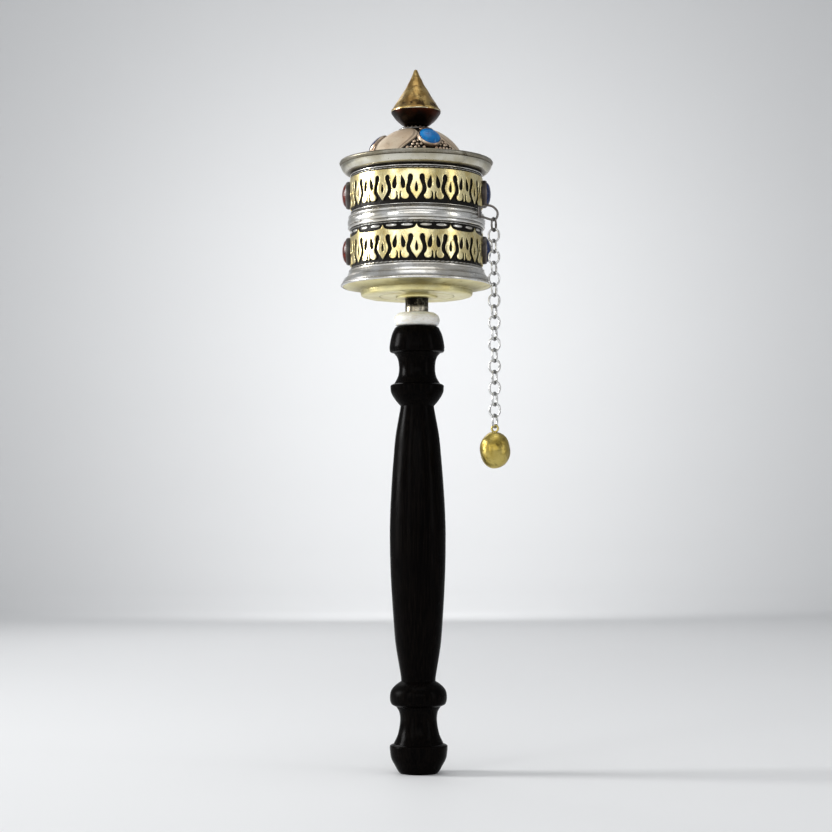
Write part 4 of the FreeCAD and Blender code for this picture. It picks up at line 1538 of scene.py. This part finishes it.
@dataclass
class Chain:
    """The eye, the links and the ball weight."""

    count: int = 19
    azimuth: float = -25.0
    radius: float = 33.4
    wire: float = 0.4
    width: float = 5.1

    def link(self, number: int) -> None:
        """One round link with the bump of its soldered joint.

        Args:
            number: its place from the top, from 1.
        """
        node = f"chain_link_{number:02d}"
        low, high = node_heights(node)
        ring = self.width / 2 - self.wire
        straight = (high - low - self.width) / 2
        bm = torus(ring, self.wire, 36, 12)
        layer = bm.verts.layers.float[GRIME_AND_SHADE]
        joint = 0.0 if number % 3 else math.pi
        for vert in bm.verts:
            angle = math.atan2(vert.co.y, vert.co.x)
            centre = Vector((math.cos(angle), math.sin(angle), 0.0)) * ring * MM
            near = hump((angle - joint + math.pi) % math.tau - math.pi, 0.0, 0.16)
            vert.co = centre + (vert.co - centre) * (1 + 0.14 * near)
            # Dark at the soldered joint, and painted shade at the ends where links hang in each other.
            vert[layer] = 0.5 * near + 0.75 * abs(math.sin(angle)) ** 6
            vert.co.y += math.copysign(straight * MM, vert.co.y)
        across = 90.0 * (number % 2)
        place = turn(self.azimuth) @ shift(self.radius, 0, (low + high) / 2) @ turn(across) @ turn(90, "X")
        home = Home(f"link_{number:02d}", "chain_silver", (node,))
        # The top link takes the dark wire colour as painted shade; the others are silver.
        finish = DARK_WIRE_AND_SHADE if number == 1 else CHAIN_SILVER
        finish_piece(f"round_link_{number:02d}", moved(bm, place), finish, home, sharp=80.0)

    def eye(self) -> None:
        """The bent wire eye on the drum's middle moulding, with its soldered foot."""
        low = node_heights("chain_eye")[0] + 0.45
        curve = bpy.data.curves.new("eye", "CURVE")
        curve.dimensions = "3D"
        curve.bevel_depth = 0.45
        curve.bevel_resolution = 4
        curve.resolution_u = 12
        curve.use_fill_caps = True
        route = [(27.0, 4.85), (30.3, 6.1), (34.55, 3.9), (34.9, 1.5), (33.4, 0.0), (32.0, 0.42)]
        route.append((27.0, 2.23))
        spline = curve.splines.new("BEZIER")
        spline.bezier_points.add(len(route) - 1)
        for knot, (out, up) in zip(spline.bezier_points, route):
            knot.co = (out, 0.0, low + up)
            knot.handle_left_type = knot.handle_right_type = "AUTO"
        wire = curve_mesh(curve)
        bmesh.ops.scale(wire, vec=(MM, MM, MM), verts=wire.verts)
        foot = bmesh.new()
        bmesh.ops.create_cube(foot, size=MM)
        bmesh.ops.scale(foot, vec=(0.9, 2.3, 4.6), verts=foot.verts)
        bmesh.ops.bevel(
            foot, geom=foot.edges[:], offset=0.3 * MM, segments=3, profile=0.5, affect="EDGES", material=-1
        )
        moved(foot, shift(27.3, 0, low + 3.5))
        bm = moved(joined([wire, foot]), turn(self.azimuth))
        bmesh.ops.recalc_face_normals(bm, faces=bm.faces)
        finish_piece("chain_eye_wire", bm, DARK_WIRE_AND_SHADE, Home("drum", "dark_wire", ("chain_eye",)), sharp=60.0)

    def weight(self) -> None:
        """The brass ball, a little lumpy, with a flat neck and its loop."""
        low, high = node_heights("ball_weight")
        r, tall = node_radius("ball_weight"), high - low
        outline, steps = Outline(), 40
        for k in range(steps + 1):
            angle = math.radians(-90 + 163 * k / steps)
            outline.line((r * math.cos(angle), low + 0.51 * tall * (1 + math.sin(angle))))
        # Grime and painted shade at the neck, under the loop.
        outline.line((1.65, high - 0.25, 0.7), (1.55, high - 0.02, 0.3), (0, high))
        bm = lathe(outline, 72)
        lump(bm, 0.42, 5.0, 2.9)
        place = turn(self.azimuth) @ shift(self.radius)
        home = Home("weight", "ball_brass", ("ball_weight",))
        finish_piece("brass_ball", moved(bm, place), BALL_BRASS, home, sharp=60.0)
        top = node_heights("weight_loop")[1]
        loop = moved(torus(1.3, 0.42, 36, 10), shift(z=top - 1.75) @ turn(90, "X"))
        home = Home("weight", "ball_brass", ("weight_loop",))
        finish_piece("ball_loop", moved(loop, place), BALL_BRASS, home, sharp=80.0)

    def build(self) -> None:
        """Makes the eye, every link and the ball."""
        self.eye()
        for number in range(1, self.count + 1):
            self.link(number)
        self.weight()


# ---- studio -------------------------------------------------------------------------------


@dataclass
class Studio:
    """A pale sweep, soft lights and the camera."""

    distance: float = 0.80
    eye_height: float = 0.095
    pitch: float = 1.63
    lens_shift: float = 0.0715
    view_width: float = 0.33025
    roll: float = 0.24
    floor_depth: float = 1.7
    aside: float = -0.0007
    room_light: float = 0.4

    def sweep(self) -> None:
        """The floor, curving up behind into the backdrop."""
        bm = bmesh.new()
        bmesh.ops.create_grid(bm, x_segments=4, y_segments=60, size=1.0)
        bend, width, front, tall = 0.45, 4.0, -2.5, 3.2
        flat = self.floor_depth - front
        arc = bend * math.pi / 2
        total = flat + arc + tall
        for vert in bm.verts:
            along = (vert.co.y + 1) / 2 * total
            x = vert.co.x * width
            if along < flat:
                vert.co = Vector((x, front + along, 0.0))
            elif along < flat + arc:
                angle = (along - flat) / bend
                back, up = bend * math.sin(angle), bend * (1 - math.cos(angle))
                vert.co = Vector((x, self.floor_depth + back, up))
            else:
                vert.co = Vector((x, self.floor_depth + bend, bend + along - flat - arc))
        data = bpy.data.meshes.new("sweep")
        for face in bm.faces:
            face.smooth = True
        bm.to_mesh(data)
        bm.free()
        floor = bpy.data.objects.new("sweep", data)
        data.materials.append(StudioPaint().material())
        bpy.context.scene.collection.objects.link(floor)

    def lamp(
        self,
        name: str,
        place: Point,
        aim: Point,
        size: tuple[float, float],
        power: float,
        spread: float = 180.0,
    ) -> None:
        """One soft rectangular light that the camera doesn't see.

        Args:
            name: its name.
            place: where it stands, in metres.
            aim: what it points at.
            size: its width and height.
            power: its power in watts.
            spread: the angle that its grid lets through, in degrees.
        """
        light = bpy.data.lights.new(name, "AREA")
        light.shape = "RECTANGLE"
        light.size, light.size_y = size
        light.energy = power
        light.spread = math.radians(spread)
        lamp = bpy.data.objects.new(name, light)
        lamp.location = place
        lamp.rotation_euler = (Vector(aim) - Vector(place)).to_track_quat("-Z", "Y").to_euler()
        lamp.visible_camera = False
        bpy.context.scene.collection.objects.link(lamp)

    def lights(self) -> None:
        """Key from the left, lights in front and above, a fill, and two for floor and backdrop."""
        drum = (0.0, 0.0, 0.2)
        self.lamp("key", (-1.3, 0.12, 0.55), drum, (0.4, 0.55), 6.6, 110.0)
        self.lamp("front_left", (-0.75, -0.95, 0.45), drum, (0.25, 0.8), 1.9)
        self.lamp("fill", (1.0, -0.5, 0.4), drum, (0.22, 0.8), 1.5)
        self.lamp("front", (0.0, -1.3, 0.5), drum, (1.1, 0.35), 2.3)
        self.lamp("top", (0.0, -0.2, 1.3), (0.0, 0.0, 0.0), (0.8, 0.8), 1.0, 100.0)
        self.lamp("backdrop_glow", (0.0, 1.2, 0.39), (0.0, 2.1, 0.39), (0.35, 0.35), 2.9, 125.0)
        self.lamp("far_floor", (-0.35, 1.15, 0.9), (-0.1, 0.9, 0.0), (0.7, 0.5), 1.5, 110.0)
        world = bpy.data.worlds.new("soft_room")
        world.use_nodes = True
        background = world.node_tree.nodes["Background"]
        background.inputs["Color"].default_value = (0.95, 0.97, 1.0, 1.0)
        background.inputs["Strength"].default_value = self.room_light
        bpy.context.scene.world = world

    def camera(self) -> None:
        """The camera, low and looking slightly up, with a small rise of the lens."""
        data = bpy.data.cameras.new("camera")
        data.sensor_width = 36.0
        data.lens = data.sensor_width * self.distance / self.view_width
        camera = bpy.data.objects.new("camera", data)
        data.shift_y = self.lens_shift
        camera.location = (self.aside, -self.distance, self.eye_height)
        camera.rotation_euler = (math.radians(90.0 + self.pitch), math.radians(self.roll), 0.0)
        bpy.context.scene.collection.objects.link(camera)
        bpy.context.scene.camera = camera

    def build(self) -> None:
        """Sets up the studio."""
        self.sweep()
        self.lights()
        self.camera()
        bpy.context.scene.view_settings.view_transform = "Standard"


def main() -> None:
    """Builds every sub-assembly in order."""
    logging.basicConfig(level=logging.INFO, format="%(message)s")
    Studio().build()
    Handle().build()
    Bearing().build()
    DrumBody().build()
    OrnamentBand("lower_band_plate", peak=1.7).build("lower_gold_band")
    OrnamentBand("upper_band_plate").build("upper_gold_band")
    DrumStones().build()
    Lid().build()
    Finial().build()
    Scroll().build()
    Chain().build()


if __name__ == "__main__":
    main()
